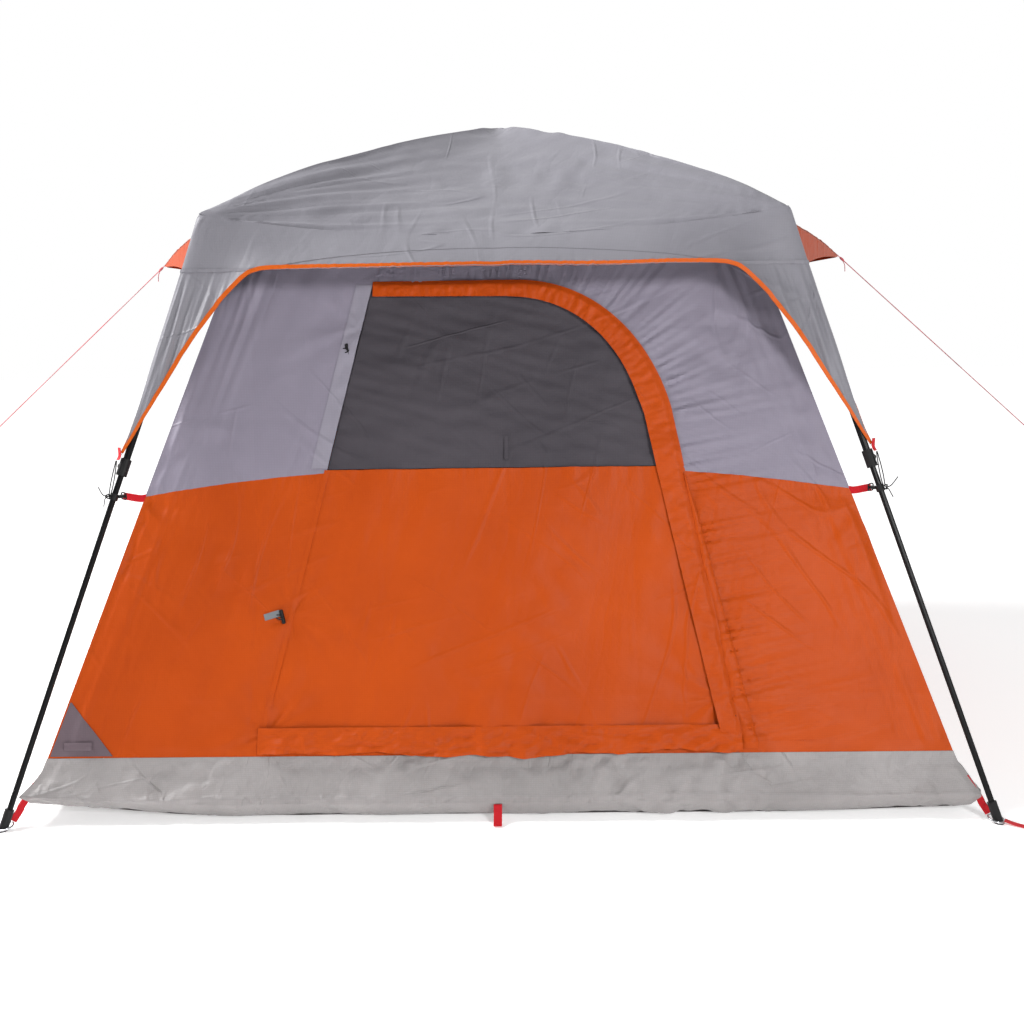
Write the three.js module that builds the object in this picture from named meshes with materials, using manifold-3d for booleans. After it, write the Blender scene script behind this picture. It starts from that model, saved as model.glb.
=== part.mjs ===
// Pop-up cabin tent: hub, four arched roof poles, four telescoping legs outside an inner tent,
// and a fly sheet over the hub and shoulders. Millimetres, +Z up, door at -Y.
import * as THREE from 'three';
import { mergeVertices } from 'three/addons/utils/BufferGeometryUtils.js';
import Module from 'manifold-3d';

const wasm = await Module();
wasm.setup();

// ---------- driving dimensions ----------
const FOOT_HALF = 1300; // half the distance between feet, along X and along Y
const ELBOW_HALF = 815; // half the distance between elbow pivots
const ELBOW_Z = 1595; // height of the elbow pivots
const HUB_Z = 1930; // height of the hub's hinge ring
const HUB_RING_R = 42; // radius of the ring that the roof poles hinge on
const RING_WIRE_R = 3;
const ROOF_SAG = 50; // how far the arched roof pole rises above its chord
const POLE_R = 8; // roof pole and lower leg, outer radius
const POLE_WALL = 1.4;
const UPPER_R = 9.8; // upper leg tube, outer radius
const TUBE_SIDES = 10;
const ROUND_SIDES = 16; // collars, clips and caps
const UPPER_END_Z = 905; // height of the upper tube's mouth
const LEG_OVERLAP = 110; // lower tube kept inside the upper tube when it is pulled out
const COLLAR_LENGTH = 44;
const COLLAR_R = 14.5;
const BUTTON_R = 5;
const CLIP_Z = 845; // height of the clip that holds the inner tent to the leg
const FABRIC = 0.8; // thickness of every sheet
const SEAM_GAP = 1; // space left between sheets that meet at a seam
const INNER_BOTTOM = 1262; // inner tent half width near the ground
const INNER_TOP = 734; // inner tent half width at the top of its walls
const WALL_BOTTOM_Z = 4;
const WALL_TOP_Z = 1560;
const FLOOR_HALF = 1240;
const FLY_TOP_Z = 1990;
const FLY_CORNER = 845; // fly half width at the shoulders
const FLY_CORNER_Z = 1617;
const FLY_RIDGE_SAG = 45;
const FLY_EAVE_MID = 800; // fly half width at the middle of each side, level with the shoulders
const FLY_EAVE_MID_Z = 1548;
const FLY_MID_SAG = 40; // bulge of the roof between the ridges
const VISOR_Z = 1458; // height of the fly's front edge
const VISOR_MID = 930;
const WING_TIP = 1030; // the corner wing ends in a tip on the leg
const WING_TIP_Z = 958;
const WING_WIDTH = 214; // width of the wing at the height of the visor
const DOOR_FOOT_Z = 190;
const DOOR_TOP_Z = 1421;
const DOOR_HINGE_FOOT_X = -640;
const DOOR_HINGE_TOP_X = -350;
const DOOR_ZIP_FOOT_X = 650;
const DOOR_SHOULDER_X = 490; // where the curved head of the door meets its straight right edge
const DOOR_SHOULDER_Z = 1060;
const DOOR_CURVE_X = 60; // where the level head of the door starts to curve
const WINDOW_Z = 903; // height of the grey and orange seam, which is the window's lower edge
const AWNING_TIP_X = 1195;
const AWNING_TIP_Z = 1538;
const GUY_R = 1.5;
const GUY_END_X = 1960;
const GUY_END_Z = 865;

const CORNERS = [
  { name: 'front_left', sx: -1, sy: -1 },
  { name: 'front_right', sx: 1, sy: -1 },
  { name: 'back_left', sx: -1, sy: 1 },
  { name: 'back_right', sx: 1, sy: 1 },
];

// ---------- materials ----------
function paint(color, roughness, metalness = 0) {
  return new THREE.MeshStandardMaterial({ color, roughness, metalness });
}

const poleBlack = () => paint(0x1c1c1e, 0.42, 0.6);
const plasticBlack = () => paint(0x161617, 0.55);
const steel = () => paint(0xb8b8bc, 0.3, 1);
const flyGrey = () => paint(0x98979f, 0.7);
const wallOrange = () => paint(0xc65223, 0.7);
const floorGrey = () => paint(0xb8b1af, 0.8);
const meshGrey = () => paint(0x524d53, 0.85);
const guyRed = () => paint(0xc02030, 0.8);

// ---------- solids ----------
function toSolid(geometry) {
  const source = geometry.clone();
  source.deleteAttribute('normal');
  source.deleteAttribute('uv');
  const merged = mergeVertices(source, 1e-4);
  const triVerts = new Uint32Array(merged.index.array);
  const vertProperties = new Float32Array(merged.attributes.position.array);
  return new wasm.Manifold(new wasm.Mesh({ numProp: 3, vertProperties, triVerts }));
}

function toGeometry(solid) {
  const mesh = solid.getMesh();
  const geometry = new THREE.BufferGeometry();
  geometry.setAttribute('position', new THREE.BufferAttribute(new Float32Array(mesh.vertProperties), 3));
  geometry.setIndex(new THREE.BufferAttribute(new Uint32Array(mesh.triVerts), 1));
  geometry.computeVertexNormals();
  return geometry;
}

// Turns local +Z to the given direction and moves the origin to the given point.
function along(geometry, origin, direction) {
  const up = new THREE.Vector3(0, 0, 1);
  const turn = new THREE.Quaternion().setFromUnitVectors(up, direction.clone().normalize());
  return geometry.clone().applyQuaternion(turn).translate(origin.x, origin.y, origin.z);
}

// A full cylinder from one point to another.
function rod(start, end, radius, sides = TUBE_SIDES) {
  const span = end.clone().sub(start);
  const geometry = new THREE.CylinderGeometry(radius, radius, span.length(), sides);
  geometry.rotateX(Math.PI / 2).translate(0, 0, span.length() / 2);
  return along(geometry, start, span);
}

// A hollow tube from one point to another, open at both ends.
function tube(start, end, outer, inner, sides = TUBE_SIDES) {
  const length = end.distanceTo(start);
  const profile = [
    new THREE.Vector2(inner, 0),
    new THREE.Vector2(outer, 0),
    new THREE.Vector2(outer, length),
    new THREE.Vector2(inner, length),
    new THREE.Vector2(inner, 0),
  ];
  const geometry = new THREE.LatheGeometry(profile, sides);
  geometry.rotateX(Math.PI / 2);
  return along(geometry, start, end.clone().sub(start));
}

// A full cylinder across a leg or pole, between two distances to the side of a centre.
function crossRod(centre, side, from, to, radius, sides = TUBE_SIDES) {
  const start = centre.clone().addScaledVector(side, from);
  return rod(start, centre.clone().addScaledVector(side, to), radius, sides);
}

// A sheet of cloth: a grid of points on its outer face, closed by an inner face one thickness in.
function sheet(columns, rows, pointAt, inward) {
  const outer = [];
  for (let row = 0; row <= rows; row += 1) {
    for (let column = 0; column <= columns; column += 1) {
      outer.push(pointAt(column / columns, row / rows));
    }
  }
  const width = columns + 1;
  const inner = outer.map((point) => point.clone().addScaledVector(inward(point), FABRIC));
  const positions = [...outer, ...inner].flatMap((point) => point.toArray());
  const count = outer.length;
  const faces = [];
  const quad = (a, b, c, d) => faces.push(a, b, c, a, c, d);
  for (let row = 0; row < rows; row += 1) {
    for (let column = 0; column < columns; column += 1) {
      const corner = row * width + column;
      quad(corner, corner + 1, corner + 1 + width, corner + width);
      quad(count + corner, count + corner + width, count + corner + 1 + width, count + corner + 1);
    }
  }
  for (let column = 0; column < columns; column += 1) {
    const last = rows * width + column;
    quad(column + 1, column, count + column, count + column + 1);
    quad(last, last + 1, count + last + 1, count + last);
  }
  for (let row = 0; row < rows; row += 1) {
    const left = row * width;
    const right = left + columns;
    quad(left, left + width, count + left + width, count + left);
    quad(right + width, right, count + right, count + right + width);
  }
  const geometry = new THREE.BufferGeometry();
  geometry.setAttribute('position', new THREE.BufferAttribute(new Float32Array(positions), 3));
  geometry.setIndex(faces);
  const flipped = signedVolume(geometry) < 0;
  if (flipped) {
    geometry.setIndex(faces.map((_, i) => faces[i - (i % 3) + [0, 2, 1][i % 3]]));
  }
  geometry.computeVertexNormals();
  return geometry;
}

function signedVolume(geometry) {
  const position = geometry.attributes.position;
  const index = geometry.index.array;
  const corner = (i) => new THREE.Vector3().fromBufferAttribute(position, index[i]);
  let sum = 0;
  for (let i = 0; i < index.length; i += 3) {
    sum += corner(i).dot(corner(i + 1).cross(corner(i + 2)));
  }
  return sum / 6;
}

const lerp = THREE.MathUtils.lerp;

// ---------- shape of the frame ----------
const elbowPoint = ({ sx, sy }) => new THREE.Vector3(sx * ELBOW_HALF, sy * ELBOW_HALF, ELBOW_Z);
const footPoint = ({ sx, sy }) => new THREE.Vector3(sx * FOOT_HALF, sy * FOOT_HALF, 0);
const outward = ({ sx, sy }) => new THREE.Vector3(sx, sy, 0).normalize();
const sideways = ({ sx, sy }) => new THREE.Vector3(-sy, sx, 0).normalize();
const legDirection = (corner) => footPoint(corner).sub(elbowPoint(corner)).normalize();

function legPoint(corner, z) {
  const share = (ELBOW_Z - z) / ELBOW_Z;
  return elbowPoint(corner).lerp(footPoint(corner), share);
}

// Centre line of the roof pole: share 0 at the hinge ring, 1 at the elbow pivot.
function roofPolePoint(corner, share) {
  const reach = lerp(HUB_RING_R, ELBOW_HALF * Math.SQRT2, share);
  const rise = 4 * ROOF_SAG * share * (1 - share);
  return outward(corner).multiplyScalar(reach).setZ(lerp(HUB_Z, ELBOW_Z, share) + rise);
}

// ---------- hub ----------
const RING_STEPS = 24;
const WIRE_SIDES = 8;
const ARM_WIDTH = 16;
const GROOVE_CLEARANCE = 0.4;

function ringOf(wireRadius) {
  return new THREE.TorusGeometry(HUB_RING_R, wireRadius, WIRE_SIDES, RING_STEPS).translate(0, 0, HUB_Z);
}

function hubLower() {
  const profile = [
    new THREE.Vector2(0, -30),
    new THREE.Vector2(18, -30),
    new THREE.Vector2(24, -22),
    new THREE.Vector2(24, 14),
    new THREE.Vector2(0, 14),
  ];
  let body = toSolid(new THREE.LatheGeometry(profile, 16).rotateX(Math.PI / 2).translate(0, 0, HUB_Z));
  for (const angle of [0, Math.PI / 2]) {
    const arm = new THREE.BoxGeometry(2 * HUB_RING_R + ARM_WIDTH, ARM_WIDTH, ARM_WIDTH).rotateZ(angle);
    body = body.add(toSolid(arm.translate(0, 0, HUB_Z)));
  }
  const groove = ringOf(RING_WIRE_R + GROOVE_CLEARANCE);
  return toGeometry(body.subtract(toSolid(groove)));
}

function hubUpper() {
  const profile = [
    new THREE.Vector2(0, 14.6),
    new THREE.Vector2(66, 14.6),
    new THREE.Vector2(68, 20),
    new THREE.Vector2(60, 27),
    new THREE.Vector2(36, 35),
    new THREE.Vector2(0, 38),
  ];
  return new THREE.LatheGeometry(profile, RING_STEPS).rotateX(Math.PI / 2).translate(0, 0, HUB_Z);
}

// ---------- roof poles and elbows ----------
const EYE_R = 9; // flattened eye at the inner end of a roof pole
const EYE_HALF = 6;
const EYE_CLEARANCE = 1.6;

function roofPole(corner) {
  const first = 0.028;
  const last = 0.972;
  const steps = 9;
  const points = [];
  for (let i = 0; i <= steps; i += 1) {
    points.push(roofPolePoint(corner, lerp(first, last, i / steps)));
  }
  const section = new THREE.Shape().absarc(0, 0, POLE_R, 0, 2 * Math.PI);
  section.holes.push(new THREE.Path().absarc(0, 0, POLE_R - POLE_WALL, 0, 2 * Math.PI, true));
  const path = new THREE.CatmullRomCurve3(points);
  const sweep = { steps, extrudePath: path, curveSegments: 4, bevelEnabled: false };
  const shaft = new THREE.ExtrudeGeometry(section, sweep);
  const ringPoint = roofPolePoint(corner, 0);
  const neckStart = roofPolePoint(corner, 0.006);
  const neckEnd = roofPolePoint(corner, 0.06);
  const side = sideways(corner);
  const eye = crossRod(ringPoint, side, -EYE_HALF, EYE_HALF, EYE_R);
  const hole = crossRod(ringPoint, side, -2 * EYE_HALF, 2 * EYE_HALF, RING_WIRE_R + EYE_CLEARANCE);
  const plug = rod(neckStart, neckEnd, POLE_R - POLE_WALL / 2);
  const body = toSolid(shaft).add(toSolid(plug)).add(toSolid(eye)).subtract(toSolid(hole));
  return toGeometry(body);
}

const FORK_HALF = 13; // half the elbow fork's overall width
const CHEEK_R = 16; // radius of the fork's round cheeks
const SOCKET_R = 13; // outer radius of the socket on the roof pole's end
const SOCKET_CLEARANCE = 1.1;
const TONGUE_HALF = 7; // half the width of the leg's tongue between the fork's cheeks
const PIN_R = 4;
const PIN_HOLE_R = 4.4;
const PIN_HEAD = 3; // how far the pin stands out of each cheek

function elbow(corner) {
  const pivot = elbowPoint(corner);
  const side = sideways(corner);
  const socketStart = roofPolePoint(corner, 0.93);
  const socketEnd = roofPolePoint(corner, 0.985);
  const poleEnd = roofPolePoint(corner, 0.973);
  const socket = toSolid(rod(socketStart, socketEnd, SOCKET_R));
  const cheeks = toSolid(crossRod(pivot, side, -FORK_HALF, FORK_HALF, CHEEK_R));
  const facing = Math.atan2(corner.sy, corner.sx);
  const bridgeAt = pivot.clone().addScaledVector(outward(corner), -19);
  const bridge = new THREE.BoxGeometry(22, 2 * FORK_HALF, 26).rotateZ(facing);
  bridge.translate(bridgeAt.x, bridgeAt.y, bridgeAt.z + 2);
  const body = socket.add(cheeks).add(toSolid(bridge));
  const bore = rod(socketStart.clone().sub(poleEnd).add(socketStart), poleEnd, POLE_R + SOCKET_CLEARANCE);
  const slotAt = pivot.clone().addScaledVector(outward(corner), 9);
  const slot = new THREE.BoxGeometry(44, 2 * TONGUE_HALF + 1, 44).rotateZ(facing);
  slot.translate(slotAt.x, slotAt.y, slotAt.z);
  const pinHole = crossRod(pivot, side, -2 * FORK_HALF, 2 * FORK_HALF, PIN_HOLE_R);
  return toGeometry(body.subtract(toSolid(bore)).subtract(toSolid(slot)).subtract(toSolid(pinHole)));
}

function elbowPin(corner) {
  const half = FORK_HALF + PIN_HEAD;
  return crossRod(elbowPoint(corner), sideways(corner), -half, half, PIN_R);
}

// ---------- legs ----------
function upperLeg(corner) {
  const pivot = elbowPoint(corner);
  const direction = legDirection(corner);
  const side = sideways(corner);
  const tubeStart = pivot.clone().addScaledVector(direction, 22);
  const shaft = toSolid(tube(tubeStart, legPoint(corner, UPPER_END_Z), UPPER_R, UPPER_R - POLE_WALL + 0.2));
  const tongue = toSolid(crossRod(pivot, side, -TONGUE_HALF, TONGUE_HALF, 11));
  const neck = toSolid(rod(pivot, pivot.clone().addScaledVector(direction, 36), 6.5));
  const plug = toSolid(rod(tubeStart, pivot.clone().addScaledVector(direction, 34), UPPER_R - 0.4));
  const hole = toSolid(crossRod(pivot, side, -2 * FORK_HALF, 2 * FORK_HALF, PIN_HOLE_R));
  return toGeometry(shaft.add(plug).add(neck).add(tongue).subtract(hole));
}

// Centre of the collar on the upper tube's mouth.
function collarPoint(corner) {
  return legPoint(corner, UPPER_END_Z).addScaledVector(legDirection(corner), -COLLAR_LENGTH / 2);
}

// Direction from the leg in which the lock button faces.
const buttonSide = (corner) => sideways(corner).multiplyScalar(-corner.sx * corner.sy);

const COLLAR_LIP = 4; // the collar reaches this far past the tube's mouth
const BOSS_R = 9;
const BOSS_TIP = 22;
const POCKET_FLOOR = 13;
const POCKET_CLEARANCE = 0.4;
const BUTTON_BASE = 17;
const BUTTON_TIP = 25;

function legCollar(corner) {
  const direction = legDirection(corner);
  const centre = collarPoint(corner);
  const side = buttonSide(corner);
  const start = centre.clone().addScaledVector(direction, -COLLAR_LENGTH / 2);
  const end = centre.clone().addScaledVector(direction, COLLAR_LENGTH / 2 + COLLAR_LIP);
  const sleeve = toSolid(tube(start, end, COLLAR_R, UPPER_R + 0.3, ROUND_SIDES));
  const boss = toSolid(crossRod(centre, side, UPPER_R + 1.5, BOSS_TIP, BOSS_R));
  const pocket = toSolid(crossRod(centre, side, POCKET_FLOOR, 30, BUTTON_R + POCKET_CLEARANCE));
  return toGeometry(sleeve.add(boss).subtract(pocket));
}

function lockButton(corner) {
  return crossRod(collarPoint(corner), buttonSide(corner), BUTTON_BASE, BUTTON_TIP, BUTTON_R);
}

function lowerLeg(corner) {
  const start = legPoint(corner, UPPER_END_Z).addScaledVector(legDirection(corner), -LEG_OVERLAP);
  const end = legPoint(corner, 14);
  return tube(start, end, POLE_R, POLE_R - POLE_WALL);
}

const CAP_TOP_Z = 52;
const CAP_R = 12;
const CAP_FLOOR_Z = 12;

function footCap(corner) {
  const start = legPoint(corner, CAP_TOP_Z);
  const end = legPoint(corner, -30);
  const body = toSolid(rod(start, end, CAP_R, ROUND_SIDES));
  const bore = toSolid(rod(legPoint(corner, 2 * CAP_TOP_Z), legPoint(corner, CAP_FLOOR_Z), POLE_R + 0.5));
  const ground = new THREE.BoxGeometry(200, 200, 100);
  ground.translate(corner.sx * FOOT_HALF, corner.sy * FOOT_HALF, -50);
  return toGeometry(body.subtract(bore).subtract(toSolid(ground)));
}

// The clip loops round the lower tube and carries the strap of the inner tent on its inner side.
const CLIP_HALF = 9;
const CLIP_CLEARANCE = 0.8;
const CLIP_WALL = 2.8;

function poleClip(corner) {
  const centre = legPoint(corner, CLIP_Z);
  const direction = legDirection(corner);
  const start = centre.clone().addScaledVector(direction, -CLIP_HALF);
  const end = centre.clone().addScaledVector(direction, CLIP_HALF);
  const boreR = POLE_R + CLIP_CLEARANCE;
  const sleeve = toSolid(tube(start, end, boreR + CLIP_WALL, boreR, ROUND_SIDES));
  const bar = new THREE.BoxGeometry(20, 22, 7).rotateZ(Math.atan2(corner.sy, corner.sx));
  const barAt = centre.clone().addScaledVector(outward(corner), -20);
  bar.translate(barAt.x, barAt.y, barAt.z);
  const bore = rod(legPoint(corner, CLIP_Z + 60), legPoint(corner, CLIP_Z - 60), boreR, ROUND_SIDES);
  return toGeometry(sleeve.add(toSolid(bar)).subtract(toSolid(bore)));
}

// ---------- inner tent ----------
const innerHalf = (z) => lerp(INNER_BOTTOM, INNER_TOP, (z - WALL_BOTTOM_Z) / (WALL_TOP_Z - WALL_BOTTOM_Z));

// A corner of the inner tent's wall, from a line on the front or back to the middle of the side.
function wallCorner(corner, frontEdge) {
  const pointAt = (u, v) => {
    const z = lerp(WALL_BOTTOM_Z, WALL_TOP_Z, v);
    const half = innerHalf(z);
    if (u <= 0.5) {
      return new THREE.Vector3(lerp(frontEdge(z), corner.sx * half, u * 2), corner.sy * half, z);
    }
    return new THREE.Vector3(corner.sx * half, corner.sy * lerp(half, SEAM_GAP / 2, u * 2 - 1), z);
  };
  const inward = (point) => {
    const half = innerHalf(point.z);
    const onFront = Math.abs(Math.abs(point.y) - half) < 0.5;
    const onSide = Math.abs(Math.abs(point.x) - half) < 0.5;
    return new THREE.Vector3(onSide ? -corner.sx : 0, onFront ? -corner.sy : 0, 0);
  };
  return sheet(4, 2, pointAt, inward);
}

function doorHingeX(z) {
  return lerp(DOOR_HINGE_FOOT_X, DOOR_HINGE_TOP_X, (z - DOOR_FOOT_Z) / (DOOR_TOP_Z - DOOR_FOOT_Z));
}

const DOOR_MARGIN = 3; // between the door's cloth and the zip line

// Outline of the door in X and Z, moved in by a margin: straight hinge edge, curved head.
function doorOutline(margin, low, high) {
  const top = DOOR_TOP_Z - margin;
  const foot = DOOR_FOOT_Z + margin;
  const outline = new THREE.Shape();
  outline.moveTo(doorHingeX(foot) + margin, foot);
  outline.lineTo(doorHingeX(top) + margin, top);
  outline.lineTo(DOOR_CURVE_X, top);
  outline.bezierCurveTo(290, top, 440 - margin, 1250, DOOR_SHOULDER_X - margin, DOOR_SHOULDER_Z);
  outline.lineTo(DOOR_ZIP_FOOT_X - margin, foot);
  outline.closePath();
  const depth = 700;
  const prism = new THREE.ExtrudeGeometry(outline, { depth, curveSegments: 8, bevelEnabled: false });
  prism.rotateX(Math.PI / 2).translate(0, -650, 0);
  const band = new THREE.BoxGeometry(2000, 2000, high - low).translate(0, -1000, (low + high) / 2);
  return toSolid(prism).intersect(toSolid(band));
}

function frontSheet() {
  const pointAt = (u, v) => {
    const z = lerp(WALL_BOTTOM_Z + 10, WALL_TOP_Z, v);
    return new THREE.Vector3(lerp(-INNER_TOP, INNER_TOP, u), -innerHalf(z), z);
  };
  return toSolid(sheet(1, 1, pointAt, () => new THREE.Vector3(0, 1, 0)));
}

function wallFrontRight(corner) {
  const body = toSolid(wallCorner(corner, (z) => doorHingeX(z) + SEAM_GAP));
  return toGeometry(body.subtract(doorOutline(0, 0, FLY_TOP_Z)));
}

function doorPanel() {
  const outline = doorOutline(DOOR_MARGIN, 0, WINDOW_Z - SEAM_GAP / 2);
  return toGeometry(frontSheet().intersect(outline));
}

function doorWindow() {
  const outline = doorOutline(DOOR_MARGIN, WINDOW_Z + SEAM_GAP / 2, FLY_TOP_Z);
  return toGeometry(frontSheet().intersect(outline));
}

const SLIDER_RISE = 60; // the zip's slider stands this far above the sill

function zipSlider() {
  const z = DOOR_FOOT_Z + SLIDER_RISE;
  const share = SLIDER_RISE / (DOOR_SHOULDER_Z - DOOR_FOOT_Z);
  const x = lerp(DOOR_ZIP_FOOT_X, DOOR_SHOULDER_X, share) - 8;
  return new THREE.BoxGeometry(11, 6, 17).translate(x, -innerHalf(z) - 8, z);
}

function floorSheet() {
  return new THREE.BoxGeometry(2 * FLOOR_HALF, 2 * FLOOR_HALF, FABRIC).translate(0, 0, FABRIC / 2);
}

// ---------- fly ----------
// Quarter of the fly's roof: turn 0 at the middle of the front or back, 0.5 on the ridge, 1 at the side.
function flyRoofPoint(corner, turn, reach) {
  const onFace = turn <= 0.5;
  const toRidge = onFace ? turn * 2 : 2 - turn * 2;
  const ridge = FLY_CORNER * reach;
  const ridgeZ = lerp(FLY_TOP_Z, FLY_CORNER_Z, reach) + 4 * FLY_RIDGE_SAG * reach * (1 - reach);
  const middle = FLY_EAVE_MID * reach;
  const middleZ = lerp(FLY_TOP_Z, FLY_EAVE_MID_Z, reach) + FLY_MID_SAG * reach * (1 - reach);
  const weight = toRidge * toRidge;
  const across = Math.max(ridge * toRidge, SEAM_GAP / 2);
  const out = lerp(middle, ridge, weight);
  const z = lerp(middleZ, ridgeZ, weight);
  const x = onFace ? across : out;
  const y = onFace ? out : across;
  return new THREE.Vector3(corner.sx * Math.max(x, SEAM_GAP / 2), corner.sy * Math.max(y, SEAM_GAP / 2), z);
}

const flyInward = (point) => new THREE.Vector3(-point.x * 0.0004, -point.y * 0.0004, -1).normalize();

function flyRoof(corner) {
  return sheet(12, 6, (u, v) => flyRoofPoint(corner, u, lerp(0.03, 0.998, v)), flyInward);
}

// Lower edge of the fly: the visor in the middle of each side, a tapering wing at the corner.
function flyHemPoint(corner, turn) {
  const onFace = turn <= 0.5;
  const toRidge = onFace ? turn * 2 : 2 - turn * 2;
  const flare = (WING_TIP - FLY_CORNER) / (FLY_CORNER_Z - WING_TIP_Z);
  const visorCorner = FLY_CORNER + (FLY_CORNER_Z - VISOR_Z) * flare;
  const fromCorner = visorCorner * (1 - toRidge);
  const climb = Math.min(1, fromCorner / WING_WIDTH);
  const z = lerp(WING_TIP_Z, VISOR_Z, 1 - (1 - climb) ** 1.35);
  const cornerAtZ = FLY_CORNER + (FLY_CORNER_Z - z) * flare;
  const across = Math.max(cornerAtZ - fromCorner, SEAM_GAP / 2);
  const out = lerp(VISOR_MID, cornerAtZ, toRidge * toRidge);
  return new THREE.Vector3(corner.sx * (onFace ? across : out), corner.sy * (onFace ? out : across), z);
}

function flySkirt(corner) {
  const inward = (point) => new THREE.Vector3(-point.x, -point.y, 0).normalize();
  const pointAt = (u, v) => {
    const top = flyRoofPoint(corner, u, 1);
    top.z -= FABRIC + 0.6;
    return top.lerp(flyHemPoint(corner, u), v);
  };
  return sheet(20, 4, pointAt, inward);
}

// ---------- awnings and guy lines ----------
const AWNING_ROOT_X = 868;
const AWNING_ROOT_HALF = 560;
const AWNING_ROOT_Z = 1570;
const AWNING_TIP_HALF = 12;

function awning(side) {
  const root = (y) => new THREE.Vector3(side * AWNING_ROOT_X, y, AWNING_ROOT_Z);
  const tip = new THREE.Vector3(side * AWNING_TIP_X, 0, AWNING_TIP_Z);
  const pointAt = (u, v) => {
    const start = root(lerp(-AWNING_ROOT_HALF, AWNING_ROOT_HALF, u));
    const end = tip.clone().setY(lerp(-AWNING_TIP_HALF, AWNING_TIP_HALF, u));
    return start.lerp(end, v);
  };
  return sheet(6, 3, pointAt, () => new THREE.Vector3(0, 0, -1));
}

function guyLine(side) {
  const start = new THREE.Vector3(side * (AWNING_TIP_X + 2), 0, AWNING_TIP_Z - 1);
  return rod(start, new THREE.Vector3(side * GUY_END_X, 0, GUY_END_Z), GUY_R, 8);
}

// ---------- assembly ----------
const tent = new THREE.Group();

function addPart(name, geometry, material) {
  const mesh = new THREE.Mesh(geometry, material);
  mesh.name = name;
  tent.add(mesh);
}

addPart('hub_hinge_ring', ringOf(RING_WIRE_R), steel());
addPart('hub_lower', hubLower(), plasticBlack());
addPart('hub_upper', hubUpper(), plasticBlack());
for (const corner of CORNERS) {
  addPart(`roof_pole_${corner.name}`, roofPole(corner), poleBlack());
  addPart(`elbow_${corner.name}`, elbow(corner), plasticBlack());
  addPart(`elbow_pin_${corner.name}`, elbowPin(corner), steel());
  addPart(`leg_upper_${corner.name}`, upperLeg(corner), poleBlack());
  addPart(`leg_collar_${corner.name}`, legCollar(corner), plasticBlack());
  addPart(`lock_button_${corner.name}`, lockButton(corner), plasticBlack());
  addPart(`leg_lower_${corner.name}`, lowerLeg(corner), poleBlack());
  addPart(`foot_cap_${corner.name}`, footCap(corner), plasticBlack());
  addPart(`pole_clip_${corner.name}`, poleClip(corner), plasticBlack());
  addPart(`fly_roof_${corner.name}`, flyRoof(corner), flyGrey());
  addPart(`fly_skirt_${corner.name}`, flySkirt(corner), flyGrey());
}
const [frontLeft, frontRight, backLeft, backRight] = CORNERS;
addPart('wall_front_left', wallCorner(frontLeft, (z) => doorHingeX(z) - SEAM_GAP), wallOrange());
addPart('wall_front_right', wallFrontRight(frontRight), wallOrange());
addPart('wall_back_left', wallCorner(backLeft, () => -SEAM_GAP / 2), wallOrange());
addPart('wall_back_right', wallCorner(backRight, () => SEAM_GAP / 2), wallOrange());
addPart('door_panel', doorPanel(), wallOrange());
addPart('door_window', doorWindow(), meshGrey());
addPart('zip_slider', zipSlider(), plasticBlack());
addPart('floor_sheet', floorSheet(), floorGrey());
addPart('awning_left', awning(-1), wallOrange());
addPart('awning_right', awning(1), wallOrange());
addPart('guy_line_left', guyLine(-1), guyRed());
addPart('guy_line_right', guyLine(1), guyRed());

export default tent;
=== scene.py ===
"""Pop-up cabin tent: cloth, bindings, webbing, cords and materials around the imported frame."""
import math

import bmesh
import bpy
import numpy as np
from mathutils import Matrix, Vector


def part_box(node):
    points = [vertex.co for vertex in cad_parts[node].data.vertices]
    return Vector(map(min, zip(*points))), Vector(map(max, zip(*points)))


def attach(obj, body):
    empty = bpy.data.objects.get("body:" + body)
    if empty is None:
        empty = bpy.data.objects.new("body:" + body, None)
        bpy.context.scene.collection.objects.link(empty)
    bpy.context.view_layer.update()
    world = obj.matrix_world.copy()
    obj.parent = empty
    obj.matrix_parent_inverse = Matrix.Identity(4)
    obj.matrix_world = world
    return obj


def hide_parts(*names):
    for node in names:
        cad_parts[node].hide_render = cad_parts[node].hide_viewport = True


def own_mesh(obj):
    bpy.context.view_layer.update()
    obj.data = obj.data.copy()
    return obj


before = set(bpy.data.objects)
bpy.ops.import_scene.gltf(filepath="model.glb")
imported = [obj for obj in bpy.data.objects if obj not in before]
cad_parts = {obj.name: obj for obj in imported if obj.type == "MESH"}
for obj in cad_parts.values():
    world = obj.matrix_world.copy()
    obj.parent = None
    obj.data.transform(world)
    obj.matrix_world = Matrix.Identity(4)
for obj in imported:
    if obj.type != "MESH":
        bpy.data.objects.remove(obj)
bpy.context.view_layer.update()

CORNERS = {"front_left": (-1, -1), "front_right": (1, -1), "back_left": (-1, 1), "back_right": (1, 1)}

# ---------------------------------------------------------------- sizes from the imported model
WALL_LO, WALL_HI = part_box("wall_back_right")
SKIRT_LO, SKIRT_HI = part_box("fly_skirt_back_right")
DOOR_LO, DOOR_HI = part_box("door_panel")
WINDOW_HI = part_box("door_window")[1]
CLIP_LO, CLIP_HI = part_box("pole_clip_front_right")
PIN_LO, PIN_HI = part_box("elbow_pin_front_right")
FLOOR_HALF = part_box("floor_sheet")[1][0]

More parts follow.
